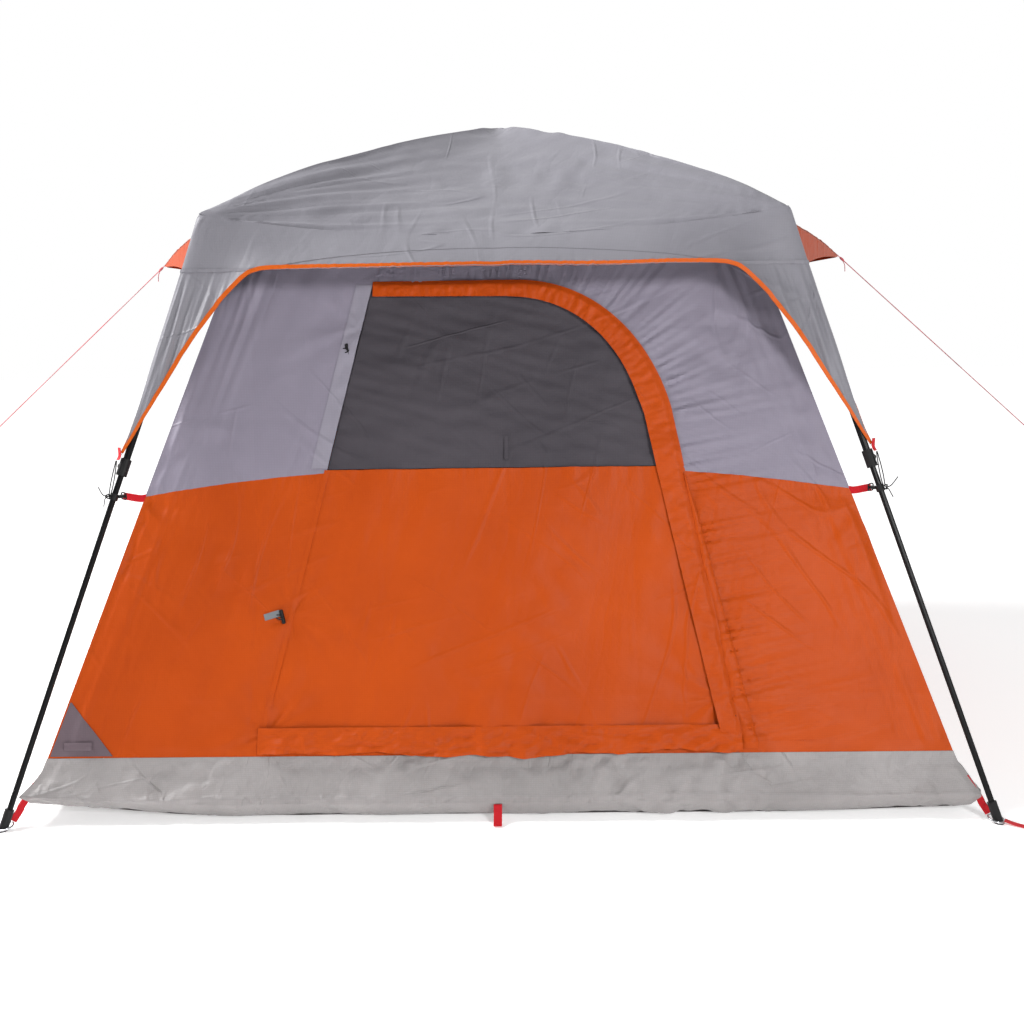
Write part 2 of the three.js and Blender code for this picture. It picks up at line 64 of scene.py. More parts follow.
INNER_BOTTOM = WALL_HI[0]
WALL_BOTTOM_Z = WALL_LO[2]
WALL_TOP_Z = WALL_HI[2]
INNER_TOP = 0.734 / 1.262 * INNER_BOTTOM  # the top edge is 0.734 m from the middle where the foot is 1.262 m
FLY_CORNER = 0.845
FLY_CORNER_Z = SKIRT_HI[2] + 0.0014
FLY_TOP_Z = 1.990
FLY_RIDGE_SAG = 0.045
FLY_EAVE_MID = 0.800
FLY_EAVE_MID_Z = 1.548
VISOR_Z = 1.458
VISOR_MID = 0.930
WING_TIP = SKIRT_HI[0]
WING_TIP_Z = SKIRT_LO[2]
WING_WIDTH = 0.214
ELBOW_HALF = (PIN_LO[0] + PIN_HI[0]) / 2
ELBOW = np.array([ELBOW_HALF, ELBOW_HALF, (PIN_LO[2] + PIN_HI[2]) / 2])
FOOT = 1.300
CLIP_Z = (CLIP_LO[2] + CLIP_HI[2]) / 2
DOOR_FOOT_Z = DOOR_LO[2] - 0.003
DOOR_TOP_Z = WINDOW_HI[2] + 0.003
SEAM_Z = DOOR_HI[2]
HINGE_FOOT_X = -0.640
HINGE_TOP_X = -0.350
ZIP_FOOT_X = 0.650
SHOULDER_X, SHOULDER_Z = 0.490, 1.060
CURVE_X = 0.060
TUB_Z = 0.162
TIP_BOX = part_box("awning_right")
AWNING_TIP = np.array([TIP_BOX[1][0], 0.0, TIP_BOX[0][2] + 0.001])
GUY_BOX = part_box("guy_line_right")
CLOTH = 0.0012
AWNING_REACH = 0.72
HEM_BEND = 10.0
CORNER_POWER = 40.0
SKIRT_LEAN, WALL_LEAN = 0.2, 0.35
FRONT_OUT = (0, -1, WALL_LEAN)
FLAP_OUT = (0, -1, 0.3)


def add_object(name, data):
    made = bpy.data.objects.new(name, data)
    bpy.context.scene.collection.objects.link(made)
    return made


# ---------------------------------------------------------------- camera
CAMERA_AT = (0.0863, -4.0092, 1.2501)
CAMERA_TURN = tuple(math.radians(angle) for angle in (-0.8, 8.8, -0.8))
FOCAL_PX, IMAGE_PX, SENSOR = 1100.0, 1024.0, 36.0


def make_camera():
    yaw, pitch, roll = CAMERA_TURN
    ahead = Vector((math.sin(yaw), math.cos(yaw), 0))
    right = Vector((math.cos(yaw), -math.sin(yaw), 0))
    up = Vector((0, 0, 1))
    forward = ahead * math.cos(pitch) - up * math.sin(pitch)
    top = up * math.cos(pitch) + ahead * math.sin(pitch)
    side = right * math.cos(roll) + top * math.sin(roll)
    top = top * math.cos(roll) - right * math.sin(roll)
    data = bpy.data.cameras.new("camera")
    data.lens = SENSOR * FOCAL_PX / IMAGE_PX
    data.sensor_width = SENSOR
    camera = add_object("camera", data)
    turn = Matrix((side, top, -forward)).transposed().to_4x4()
    camera.matrix_world = Matrix.Translation(CAMERA_AT) @ turn
    bpy.context.scene.camera = camera


make_camera()

# ---------------------------------------------------------------- noise
RANDOM = np.random.RandomState(11)
PERMUTE = np.concatenate([RANDOM.permutation(256)] * 2)
GRADIENTS = RANDOM.normal(size=(256, 3))
GRADIENTS /= np.linalg.norm(GRADIENTS, axis=1)[:, None]


def noise(points, seed=0):
    """Smooth gradient noise in about -1..1 at an (N, 3) array of points."""
    cell = np.floor(points).astype(int)
    local = points - cell
    fade = local ** 3 * (local * (local * 6 - 15) + 10)
    total = np.zeros(len(points))
    for dx in (0, 1):
        for dy in (0, 1):
            for dz in (0, 1):
                index = PERMUTE[(cell[:, 0] + dx + seed) & 255]
                index = PERMUTE[(index + cell[:, 1] + dy) & 255]
                index = PERMUTE[(index + cell[:, 2] + dz) & 255]
                offset = local - np.array([dx, dy, dz])
                dot = (GRADIENTS[index] * offset).sum(axis=1)
                weight = 1.0
                for axis, step in enumerate((dx, dy, dz)):
                    weight = weight * (fade[:, axis] if step else 1 - fade[:, axis])
                total += dot * weight
    return total * 1.6


def noise_over(first, second, third, seed):
    """Noise at points given by three coordinates, each an array or one number for all."""
    return noise(np.stack(np.broadcast_arrays(first, second, third), axis=1), seed)


def crease(points, seed=0):
    """Noise with sharp ridges, as crumpled cloth has."""
    return 0.5 - np.abs(noise(points, seed))


def stretched(points, direction, wave, stretch=7.0, seed=0):
    """Noise drawn out along a direction: long folds with a given wavelength across."""
    line = np.asarray(direction, float)
    line = line / np.linalg.norm(line)
    lengthwise = points @ line
    squeezed = points - np.outer(lengthwise * (1 - 1 / stretch), line)
    return noise(squeezed / wave, seed)


def long_folds(points, lines, seed):
    """Straight crests of a few directions, each in patches of its own, as pulled cloth shows."""
    total = np.zeros(len(points))
    for number, (direction, wave) in enumerate(lines):
        crest = stretched(points, direction, wave, 9.0, seed + 7 * number)
        patch = smooth(noise(points / 0.27, seed + 31 * number), 0.0, 0.6)
        total += patch * np.sign(crest) * np.abs(crest) ** 0.8
    return total


def smooth(value, low, high):
    share = np.clip((value - low) / (high - low), 0, 1)
    return share * share * (3 - 2 * share)


# ---------------------------------------------------------------- materials
OUTPUTS = {"TexNoise": "Fac", "TexWave": "Fac", "Mix": "Result", "MapRange": "Result", "Math": "Value",
           "VectorMath": "Value", "Bump": "Normal", "Mapping": "Vector"}


def new_material(name):
    material = bpy.data.materials.new(name)
    material.use_nodes = True
    tree = material.node_tree
    return material, tree, tree.nodes["Principled BSDF"]


def add_node(tree, kind, inputs, **settings):
    """Adds a shader node. Its inputs are numbers, or the outputs of other nodes that feed them."""
    node = tree.nodes.new("ShaderNode" + kind)
    for key, value in settings.items():
        setattr(node, key, value)
    for key, value in inputs.items():
        if isinstance(value, bpy.types.NodeSocket):
            tree.links.new(value, node.inputs[key])
        else:
            node.inputs[key].default_value = value
    return node.outputs[OUTPUTS[kind]]


def combine(tree, operation, *values):
    """A Math node over one or two outputs or numbers."""
    return add_node(tree, "Math", dict(enumerate(values)), operation=operation)


def two_tones(tree, factor, first, second):
    return add_node(tree, "Mix", {"Factor": factor, "A": (*first, 1), "B": (*second, 1)}, data_type="RGBA")


def raised(tree, height, strength, distance, over=None):
    """Bump whose height is in metres times strength, on top of another bump if one is given."""
    below = {} if over is None else {"Normal": over}
    return add_node(tree, "Bump", {"Height": height, "Strength": strength, "Distance": distance, **below})


def axis_after(turn):
    rotation = Matrix.Rotation(turn[2], 3, "Z") @ Matrix.Rotation(turn[1], 3, "Y") @ Matrix.Rotation(turn[0], 3, "X")
    return tuple(rotation @ Vector((0, 0, 1)))


CREASE_LINES = [(turn, axis_after(turn), shift) for turn, shift in (
    ((-0.12, 0.22, 0.0), 0.0), ((0.0, 1.28, 0.0), 3.7), ((-1.22, 0.0, 0.0), 8.1), ((0.0, -0.8, 0.0), 5.3))]


def sharp_creases(tree, place, size):
    """Thin straight creases in a few directions, each in patches, only where the cloth lies along them."""
    total = None
    for turn, axis, patch_shift in CREASE_LINES:
        stretch = {"Vector": place["Object"], "Rotation": turn, "Scale": (0.11 * size, 0.11 * size, 1.7 * size)}
        drawn = add_node(tree, "Mapping", stretch, vector_type="TEXTURE")
        texture = add_node(tree, "TexNoise", {"Vector": drawn, "Scale": 1.0, "Detail": 0.0})
        facing = combine(tree, "ABSOLUTE",
                         add_node(tree, "VectorMath", {0: place["Normal"], 1: axis}, operation="DOT_PRODUCT"))
        lying = add_node(tree, "MapRange", {"Value": facing, "From Min": 0.28, "From Max": 0.5, "To Min": 1.0,
                                            "To Max": 0.0})
        near = combine(tree, "ABSOLUTE", combine(tree, "SUBTRACT", texture, 0.5))
        line = add_node(tree, "MapRange", {"Value": near, "From Min": 0.0, "From Max": 0.04, "To Min": 1.0,
                                           "To Max": 0.0}, interpolation_type="SMOOTHSTEP")
        shift = add_node(tree, "Mapping", {"Vector": place["Object"], "Location": (patch_shift, patch_shift, 0.0)})
        patch = add_node(tree, "TexNoise", {"Vector": shift, "Scale": 3.4, "Detail": 1.0})
        mask = add_node(tree, "MapRange", {"Value": patch, "From Min": 0.5, "From Max": 0.66})
        crest = combine(tree, "MULTIPLY", combine(tree, "MULTIPLY", line, mask), lying)
        total = crest if total is None else combine(tree, "ADD", total, crest)
    return total


SHEEN, SHEEN_ROUGHNESS, CLOTH_SPECULAR = 0.03, 0.45, 0.16
LARGE_FOLD, SHARP_FOLD, CRUMPLE, THREAD = 0.035, 0.0032, 0.004, 0.0004


def cloth_material(name, color, shade, roughness, weave=1400.0, crumple=0.25, fold_scale=5.0,
                   crease_strength=0.16, crease_size=1.0, sharpness=0.55):
    """Coated woven polyester: fine weave, small crumples, slow change of tone."""
    material, tree, shader = new_material(name)
    place = tree.nodes.new("ShaderNodeTexCoord").outputs
    around = place["Object"]
    slow = add_node(tree, "TexNoise", {"Vector": around, "Scale": 3.2, "Detail": 5.0, "Roughness": 0.62})
    spread = add_node(tree, "MapRange", {"Value": slow, "From Min": 0.35, "From Max": 0.75})
    tone = two_tones(tree, spread, color, shade)
    thread = {"Vector": around, "Scale": weave / 20, "Distortion": 0.6, "Detail": 1.0}
    cross = combine(tree, "MULTIPLY", *(add_node(tree, "TexWave", thread, bands_direction=way) for way in "XZ"))
    woven = add_node(tree, "Mix", {"Factor": 0.10, "A": tone, "B": cross}, data_type="RGBA", blend_type="MULTIPLY")
    tree.links.new(woven, shader.inputs["Base Color"])
    small = add_node(tree, "TexNoise", {"Vector": around, "Scale": 34.0, "Detail": 6.0, "Roughness": 0.6,
                                        "Distortion": 0.8})
    drawn = add_node(tree, "Mapping", {"Vector": around, "Rotation": (-0.3, 0.3, 0.0), "Scale": (0.66, 0.66, 2.4)},
                     vector_type="TEXTURE")
    folds = add_node(tree, "TexNoise", {"Vector": drawn, "Scale": fold_scale, "Detail": 3.0, "Roughness": 0.5,
                                        "Distortion": 0.4})
    ridge = combine(tree, "ABSOLUTE", combine(tree, "SUBTRACT", folds, 0.5))
    surface = raised(tree, ridge, crease_strength, LARGE_FOLD)
    surface = raised(tree, sharp_creases(tree, place, crease_size), sharpness, SHARP_FOLD, surface)
    surface = raised(tree, small, crumple, CRUMPLE, surface)
    surface = raised(tree, cross, 0.12, THREAD, surface)
    tree.links.new(surface, shader.inputs["Normal"])
    gloss = add_node(tree, "MapRange", {"Value": small, "To Min": roughness - 0.07, "To Max": roughness + 0.07})
    tree.links.new(gloss, shader.inputs["Roughness"])
    shader.inputs["Sheen Weight"].default_value = SHEEN
    shader.inputs["Sheen Roughness"].default_value = SHEEN_ROUGHNESS
    shader.inputs["Specular IOR Level"].default_value = CLOTH_SPECULAR
    return material


def hard_material(name, color, wear, roughness, metallic=0.0, grain=260.0, bump_strength=0.08, specular=0.5):
    """Painted tube, moulded plastic or steel with fine grain and slight wear."""
    material, tree, shader = new_material(name)
    around = tree.nodes.new("ShaderNodeTexCoord").outputs["Object"]
    texture = add_node(tree, "TexNoise", {"Vector": around, "Scale": grain, "Detail": 4.0})
    patches = add_node(tree, "TexNoise", {"Vector": around, "Scale": 24.0, "Detail": 6.0})
    level = add_node(tree, "MapRange", {"Value": patches, "From Min": 0.5, "From Max": 0.78})
    tree.links.new(two_tones(tree, level, color, wear), shader.inputs["Base Color"])
    gloss = add_node(tree, "MapRange", {"Value": patches, "To Min": max(0.05, roughness - 0.1),
                                        "To Max": roughness + 0.1})
    tree.links.new(gloss, shader.inputs["Roughness"])
    tree.links.new(raised(tree, texture, bump_strength, 0.0006), shader.inputs["Normal"])
    shader.inputs["Metallic"].default_value = metallic
    shader.inputs["Specular IOR Level"].default_value = specular
    return material


FLY = cloth_material("fly_grey_taffeta", (0.238, 0.233, 0.260), (0.200, 0.195, 0.220), 0.46, crumple=0.22)
WALL_GREY = cloth_material("wall_grey_taffeta", (0.262, 0.238, 0.298), (0.236, 0.214, 0.268), 0.5, crumple=0.18)
STRIP_GREY = cloth_material("strip_grey_taffeta", (0.290, 0.272, 0.325), (0.262, 0.246, 0.294), 0.5, crumple=0.2)
ORANGE = cloth_material("orange_taffeta", (0.500, 0.066, 0.002), (0.430, 0.053, 0.0015), 0.5, crumple=0.26)
BINDING = cloth_material("orange_binding", (0.620, 0.110, 0.008), (0.550, 0.090, 0.006), 0.5, crumple=0.3)
# Darker copy of the orange cloth: painted shade that tones down the awnings where the key light falls strongly.
AWNING_PAINTED_SHADE = cloth_material("awning_taffeta_painted_shade", (0.400, 0.048, 0.002), (0.350, 0.040, 0.001), 0.5, crumple=0.3)
MESH = cloth_material("window_mesh", (0.070, 0.062, 0.073), (0.054, 0.048, 0.057), 0.62, weave=900, crumple=0.35)
CEILING = cloth_material("ceiling_mesh", (0.10, 0.095, 0.11), (0.08, 0.075, 0.09), 0.7, weave=900)
TUB = cloth_material("tub_grey_sheet", (0.362, 0.342, 0.340), (0.265, 0.250, 0.248), 0.42, crumple=0.8,
                     fold_scale=7.0, crease_strength=0.3, crease_size=0.6, sharpness=0.9)
PATCH = cloth_material("corner_patch", (0.150, 0.112, 0.130), (0.130, 0.098, 0.114), 0.5)
RED = cloth_material("red_webbing", (0.560, 0.012, 0.020), (0.430, 0.008, 0.014), 0.6, weave=2600, crumple=0.1)
GUY = cloth_material("guy_cord", (0.60, 0.05, 0.07), (0.50, 0.30, 0.32), 0.7, weave=4000)
BLACK_CORD = cloth_material("black_cord", (0.014, 0.014, 0.015), (0.020, 0.020, 0.021), 0.7)
FLY_SEAM = cloth_material("fly_seam", (0.205, 0.202, 0.224), (0.180, 0.177, 0.198), 0.6, crumple=0.1)
POLE = hard_material("pole_paint", (0.005, 0.005, 0.0055), (0.008, 0.008, 0.0085), 0.36, specular=0.14)
PLASTIC = hard_material("moulded_black", (0.008, 0.008, 0.0085), (0.013, 0.013, 0.0135), 0.5, bump_strength=0.25,
                        specular=0.25)
STEEL = hard_material("zinc_steel", (0.55, 0.55, 0.57), (0.42, 0.42, 0.44), 0.28, metallic=1.0)
GREY_TAB = hard_material("grey_tab", (0.16, 0.17, 0.18), (0.20, 0.21, 0.22), 0.55)


# ---------------------------------------------------------------- mesh helpers
SHARP_ANGLE = math.radians(52)


def make_object(name, vertices, faces, material, body):
    mesh = bpy.data.meshes.new(name)
    mesh.from_pydata([tuple(map(float, v)) for v in vertices], [], faces)
    mesh.update()
    mesh.materials.append(material)
    mesh.shade_smooth()
    mesh.set_sharp_from_angle(angle=SHARP_ANGLE)
    piece = add_object(name, mesh)
    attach(piece, body)
    return piece


def outward_from(corner, face, upward):
    """Rough outward direction of a face of the tent at a corner."""
    sx, sy = CORNERS[corner]
    return (0, sy, upward) if face == "front" else (sx, 0, upward)


def on_face(across, out, z, corner, face):
    """Points from a signed distance along a face, a distance out from the middle of the tent and a height."""
    sx, sy = CORNERS[corner]
    return np.stack([across, sy * out, z] if face == "front" else [sx * out, across, z], axis=-1)


def gathered(piece, face):
    """Gives a piece a mesh of its own, if it names the side of the tent it is on."""
    if face:
        gather_on_leg(piece)
    return piece


def unit_steps(rows, columns):
    """Shares 0..1 down the rows and across the columns of a grid."""
    return np.linspace(0, 1, rows)[:, None], np.linspace(0, 1, columns)[None, :]


def grid_normals(grid):
    across = np.gradient(grid, axis=1)
    down = np.gradient(grid, axis=0)
    normal = np.cross(across, down)
    return normal / np.maximum(np.linalg.norm(normal, axis=2, keepdims=True), 1e-9)


def shell_faces(rows, columns):
    count = rows * columns
    faces = []
    for row in range(rows - 1):
        for column in range(columns - 1):
            a = row * columns + column
            b, c, d = a + 1, a + columns + 1, a + columns
            faces.append((a, b, c, d))
            faces.append((count + a, count + d, count + c, count + b))
    for column in range(columns - 1):
        a, b = column, column + 1
        faces.append((b, a, count + a, count + b))
        c, d = a + (rows - 1) * columns, b + (rows - 1) * columns
        faces.append((c, d, count + d, count + c))
    for row in range(rows - 1):
        a, b = row * columns, (row + 1) * columns
        faces.append((a, b, count + b, count + a))
        c, d = a + columns - 1, b + columns - 1
        faces.append((d, c, count + c, count + d))
    return faces


def cloth_piece(name, grid, outward, material, body, face=None, replaced=None, thick=CLOTH):
    """A thin closed sheet: grid is its outer face, outward a rough outward direction, face the side of the tent
    it is on, which gives it a mesh of its own, and replaced the CAD node it stands for."""
    rows, columns = grid.shape[:2]
    normal = grid_normals(grid)
    facing = (normal.reshape(-1, 3) @ np.asarray(outward, float)).mean()
    if facing < 0:
        normal = -normal
    inner = grid - normal * thick
    vertices = np.concatenate([grid.reshape(-1, 3), inner.reshape(-1, 3)])
    faces = shell_faces(rows, columns)
    if facing < 0:
        faces = [ring[::-1] for ring in faces]
    piece = make_object(name, vertices, faces, material, body)
    if replaced:
        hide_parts(replaced)
    return gathered(piece, face)


def tangents(line):
    """Unit directions along a line."""
    way = np.gradient(line, axis=0)
    return way / np.linalg.norm(way, axis=1)[:, None]


def ring_faces(stations, size):
    """Faces round a row of equal rings, closed at both ends."""
    faces = []
    for i in range(stations - 1):
        for j in range(size):
            k = (j + 1) % size
            faces.append((i * size + j, i * size + k, (i + 1) * size + k, (i + 1) * size + j))
    faces.append(tuple(range(size))[::-1])
    faces.append(tuple((stations - 1) * size + j for j in range(size)))
    return faces


def strip_mesh(centre, width_directions, widths, normals, thickness, arch=0.0):
    """Cross-sections of a flat strap along a line: closed ends, arched across its width."""
    stations = len(centre)
    across = np.linspace(-0.5, 0.5, 7)
    rings = []
    for i in range(stations):
        crown = arch * (1 - (2 * across) ** 2)
        middle = centre[i] + np.outer(across * widths[i], width_directions[i])
        upper = middle + np.outer(crown + thickness / 2, normals[i])
        lower = middle + np.outer(crown - thickness / 2, normals[i])
        rings.append(np.concatenate([upper, lower[::-1]]))
    return np.concatenate(rings), ring_faces(stations, len(rings[0]))


def consistent(piece):
    mesh = bmesh.new()
    mesh.from_mesh(piece.data)
    bmesh.ops.recalc_face_normals(mesh, faces=mesh.faces[:])
    mesh.to_mesh(piece.data)
    mesh.free()
    piece.data.set_sharp_from_angle(angle=SHARP_ANGLE)
    return piece


def strap(name, points, widths, normals, thickness, material, body, arch=0.0, face=None):
    centre = np.asarray(points, float)
    tangent = tangents(centre)
    normal = np.asarray(normals, float)
    if normal.ndim == 1:
        normal = np.tile(normal, (len(centre), 1))
    side = np.cross(tangent, normal)
    side /= np.linalg.norm(side, axis=1)[:, None]
    normal = np.cross(side, tangent)
    width = np.full(len(centre), widths) if np.isscalar(widths) else np.asarray(widths)
    vertices, faces = strip_mesh(centre, side, width, normal, thickness, arch)
    return gathered(consistent(make_object(name, vertices, faces, material, body)), face)


def band_across(name, points, width, lateral, thickness, material, body, face=None):
    """Strap whose width lies along one lateral direction all the way."""
    centre = np.asarray(points, float)
    tangent = np.gradient(centre, axis=0)
    normals = np.cross(np.asarray(lateral, float), tangent)
    return strap(name, centre, width, normals, thickness, material, body, face=face)


def spline(points, count):
    """Catmull-Rom curve through the points."""
    base = np.asarray(points, float)
    padded = np.concatenate([[2 * base[0] - base[1]], base, [2 * base[-1] - base[-2]]])
    result = []
    spans = len(base) - 1
    for value in np.linspace(0, spans, count):
        i = min(int(value), spans - 1)
        t = value - i
        a, b, c, d = padded[i:i + 4]
        result.append(0.5 * (2 * b + (c - a) * t + (2 * a - 5 * b + 4 * c - d) * t ** 2
                             + (3 * b - a - 3 * c + d) * t ** 3))
    return np.array(result)


def tube_vertices(path, radius, sides=10, twist=0.0):
    path = np.asarray(path, float)
    tangent = tangents(path)
    guide = np.array([0.0, 0.0, 1.0]) if abs(tangent[0][2]) < 0.9 else np.array([1.0, 0.0, 0.0])
    normal = guide - tangent[0] * (guide @ tangent[0])
    normal /= np.linalg.norm(normal)
    rings = []
    radii = np.full(len(path), radius) if np.isscalar(radius) else np.asarray(radius)
    for i, (point, direction) in enumerate(zip(path, tangent)):
        normal = normal - direction * (normal @ direction)
        normal /= np.linalg.norm(normal)
        side = np.cross(direction, normal)
        angles = np.linspace(0, 2 * math.pi, sides, endpoint=False) + twist * i
        rings.append(point + radii[i] * (np.outer(np.cos(angles), normal) + np.outer(np.sin(angles), side)))
    return np.concatenate(rings), ring_faces(len(path), sides)


def tube(name, path, radius, material, body, sides=10, twist=0.0, face=None):
    vertices, faces = tube_vertices(path, radius, sides, twist)
    return gathered(consistent(make_object(name, vertices, faces, material, body)), face)


# ---------------------------------------------------------------- the leg's line, and own meshes for cloth pieces
def leg_line(sx, sy, z):
    share = (ELBOW[2] - z) / ELBOW[2]
    half = ELBOW[0] + (FOOT - ELBOW[0]) * share
    return np.array([sx * half, sy * half, z])


def gather_on_leg(piece):
    """Gives a piece on a front, back or side face a mesh of its own."""
    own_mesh(piece)
    return piece


def gather_on_pole(piece):
    """Gives a roof piece a mesh of its own."""
    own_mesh(piece)
    return piece


# ---------------------------------------------------------------- guy lines
def guy_lines():
    for side, name, corner in ((-1, "left", "front_left"), (1, "right", "front_right")):
        start = np.array([side * (AWNING_TIP[0] + 0.002), 0, AWNING_TIP[2]])
        end = np.array([side * GUY_BOX[1][0], 0, GUY_BOX[0][2]])
        path = [start + (end - start) * t for t in np.linspace(0, 1, 26)]
        line = tube(f"guy_cord_{name}", path, 0.0016, GUY, f"leg_{corner}", sides=8, twist=0.5)
        ring = []
        away = (end - start) / np.linalg.norm(end - start)
        upward = np.cross(away, [0, 1, 0])
        for angle in np.linspace(0.3, 2 * math.pi - 0.3, 22):
            ring.append(end + away * (0.017 - 0.017 * math.cos(angle)) + upward * 0.012 * math.sin(angle))
        knot = tube(f"guy_end_loop_{name}", ring, 0.0016, GUY, f"leg_{corner}", sides=8)
        tie = tube(f"guy_knot_{name}", [start + away * s for s in (0.012, 0.016, 0.022, 0.028, 0.032)],
                   [0.002, 0.004, 0.0045, 0.004, 0.002], GUY, f"leg_{corner}", sides=8)
        hanging = spline([start + away * 0.022, start + away * 0.034 + np.array([0, -0.004, -0.012]),
                          start + away * 0.036 + np.array([0, -0.006, -0.034])], 10)
        tail = tube(f"guy_tail_{name}", hanging, 0.0013, GUY, f"leg_{corner}", sides=6)
        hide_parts(f"guy_line_{name}")
        for piece in (line, knot, tie, tail):
            gather_on_leg(piece)


guy_lines()


# ---------------------------------------------------------------- fly
def fly_roof_grid(corner, turns, reaches):
    """Points of a quarter of the roof: turn 0 at the front or back seam, 0.5 on the ridge, 1 at the side seam."""
    sx, sy = CORNERS[corner]
    turn, reach = np.meshgrid(turns, reaches)
    on_face = turn <= 0.5
    to_ridge = np.where(on_face, turn * 2, 2 - turn * 2)
    ridge = FLY_CORNER * reach
    ridge_z = FLY_TOP_Z + (FLY_CORNER_Z - FLY_TOP_Z) * reach + 4 * FLY_RIDGE_SAG * reach * (1 - reach)
    middle = FLY_EAVE_MID * reach
    middle_z = FLY_TOP_Z + (FLY_EAVE_MID_Z - FLY_TOP_Z) * reach + 0.04 * reach * (1 - reach)
    weight = to_ridge ** 2
    across = ridge * to_ridge
    out = middle + (ridge - middle) * weight
    z = middle_z + (ridge_z - middle_z) * weight
    x = np.where(on_face, across, out)
    y = np.where(on_face, out, across)
    return np.stack([sx * x, sy * y, z], axis=2)


EAVE_ROOF_SHARE = 0.17
EAVE_VISOR_SHARE = 0.70
EAVE_ROUNDING = 0.105


def eave_softness(shares):
    """How far the bend between roof and visor is rounded: fully in the middle, hardly at the shoulder."""
    return 1 - 0.88 * np.asarray(shares) ** 2.4


def visor_limit(eave, hem, soft):
    """Share of the visor that the rounding takes up: about a hand's width at most."""
    return min(EAVE_VISOR_SHARE, EAVE_ROUNDING / float(np.linalg.norm(hem - eave))) * soft


def round_eave(inner, eave, outer, share):
    """Curve from a point on the roof to a point on the visor that cuts the corner at the eave."""
    t = share[..., None]
    return (1 - t) ** 2 * inner + 2 * t * (1 - t) * eave + t ** 2 * outer


def round_roof_edge(grid, corner, turns, reaches):
    to_ridge = np.where(turns <= 0.5, turns * 2, 2 - turns * 2)
    soft = EAVE_ROOF_SHARE * eave_softness(to_ridge)
    for column, turn in enumerate(turns):
        face = "front" if turn <= 0.5 else "side"
        start = fly_roof_grid(corner, np.array([turn]), np.array([1 - soft[column]]))[0]
        eave = fly_roof_grid(corner, np.array([turn]), np.array([1.0]))[0]
        hem = hem_points(corner, face, np.array([to_ridge[column]]))
        outer = eave + (hem - eave) * visor_limit(eave, hem, eave_softness(to_ridge[column]))
        near = reaches > 1 - soft[column]
        share = 0.5 * (reaches[near] - (1 - soft[column])) / soft[column]
        grid[near, column] = round_eave(start, eave, outer, share)
    return grid


def round_visor_edge(grid, corner, face, shares, drop):
    soft = EAVE_ROOF_SHARE * eave_softness(shares)
    turns = shares * 0.5 if face == "front" else 1 - shares * 0.5
    for column in range(len(shares)):
        start = fly_roof_grid(corner, turns[column:column + 1], np.array([1 - soft[column]]))[0]
        eave = fly_roof_grid(corner, turns[column:column + 1], np.array([1.0]))[0]
        hem = hem_points(corner, face, shares[column:column + 1])
        limit = visor_limit(eave, hem, eave_softness(shares[column]))
        outer = eave + (hem - eave) * limit
        near = drop[:, column] < limit
        share = 0.5 + 0.5 * drop[near, column] / limit
        grid[near, column] = round_eave(start, eave, outer, share)
    return grid


def draw_in_corner(grid):
    """The cloth wraps round the shoulder and sits close along the leg instead of making a sharp corner."""
    x, y, z = np.abs(grid[..., 0]), np.abs(grid[..., 1]), grid[..., 2]
    near = np.minimum(x, y) / np.maximum(np.maximum(x, y), 1e-6)
    low = np.clip((FLY_CORNER_Z - z) / (FLY_CORNER_Z - WING_TIP_Z), 0, 1)
    rounding = (1 + near ** CORNER_POWER) ** (-1 / CORNER_POWER)
    scale = 1 - smooth(np.maximum(x, y), 0.66, 0.82) * (1 - rounding) * (1 - 0.6 * low ** 4)
    moved = grid.copy()
    moved[..., 0] *= scale
    moved[..., 1] *= scale
    return moved


def roof_wrinkles(points, sx, sy):
    """Folds that fan out from the shoulder and slow waves over the panels."""
    flat = points.reshape(-1, 3)
    shoulder = np.array([sx * FLY_CORNER, sy * FLY_CORNER, FLY_CORNER_Z])
    away = flat - shoulder
    distance = np.linalg.norm(away, axis=1)
    bearing = np.arctan2(np.abs(away[:, 1]), np.abs(away[:, 0]) + 1e-6)
    near = np.exp(-((distance / 0.58) ** 2)) * smooth(distance, 0.03, 0.12)
    fan = noise_over(bearing * 15, distance * 1.5, 3.0, 5)
    fan = fan + 0.55 * noise_over(bearing * 34, distance * 2.4, 8.0, 15)
    slow = noise(flat / 0.33, 9)
    faint = long_folds(flat, (((1, 0.2, 0), 0.07), ((0.2, 1, 0), 0.06), ((1, 1, 0), 0.08)), 21)
    seam_fade = smooth(np.minimum(np.abs(flat[:, 0]), np.abs(flat[:, 1])), 0.0, 0.05)
    height = 0.0125 * fan * near + (0.007 * slow + 0.0045 * faint) * seam_fade
    return height.reshape(points.shape[:2])


def finish_grid(grid, height, outward):
    normal = grid_normals(grid)
    if (normal.reshape(-1, 3) @ np.asarray(outward, float)).mean() < 0:
        normal = -normal
    return grid + normal * height[..., None]


def fly_roofs():
    ease = np.linspace(0, 1, 60)
    turns = np.concatenate([ease * 0.5, 0.5 + ease[1:] * 0.5])
    reaches = np.linspace(0.0015, 1.0, 96)
    for corner, (sx, sy) in CORNERS.items():
        base = round_roof_edge(fly_roof_grid(corner, turns, reaches), corner, turns, reaches)
        grid = finish_grid(draw_in_corner(base), roof_wrinkles(base, sx, sy), (0, 0, 1))
        piece = cloth_piece(f"fly_roof_cloth_{corner}", grid, (0, 0, 1), FLY, f"roof_{corner}")
        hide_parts(f"fly_roof_{corner}")
        gather_on_pole(piece)


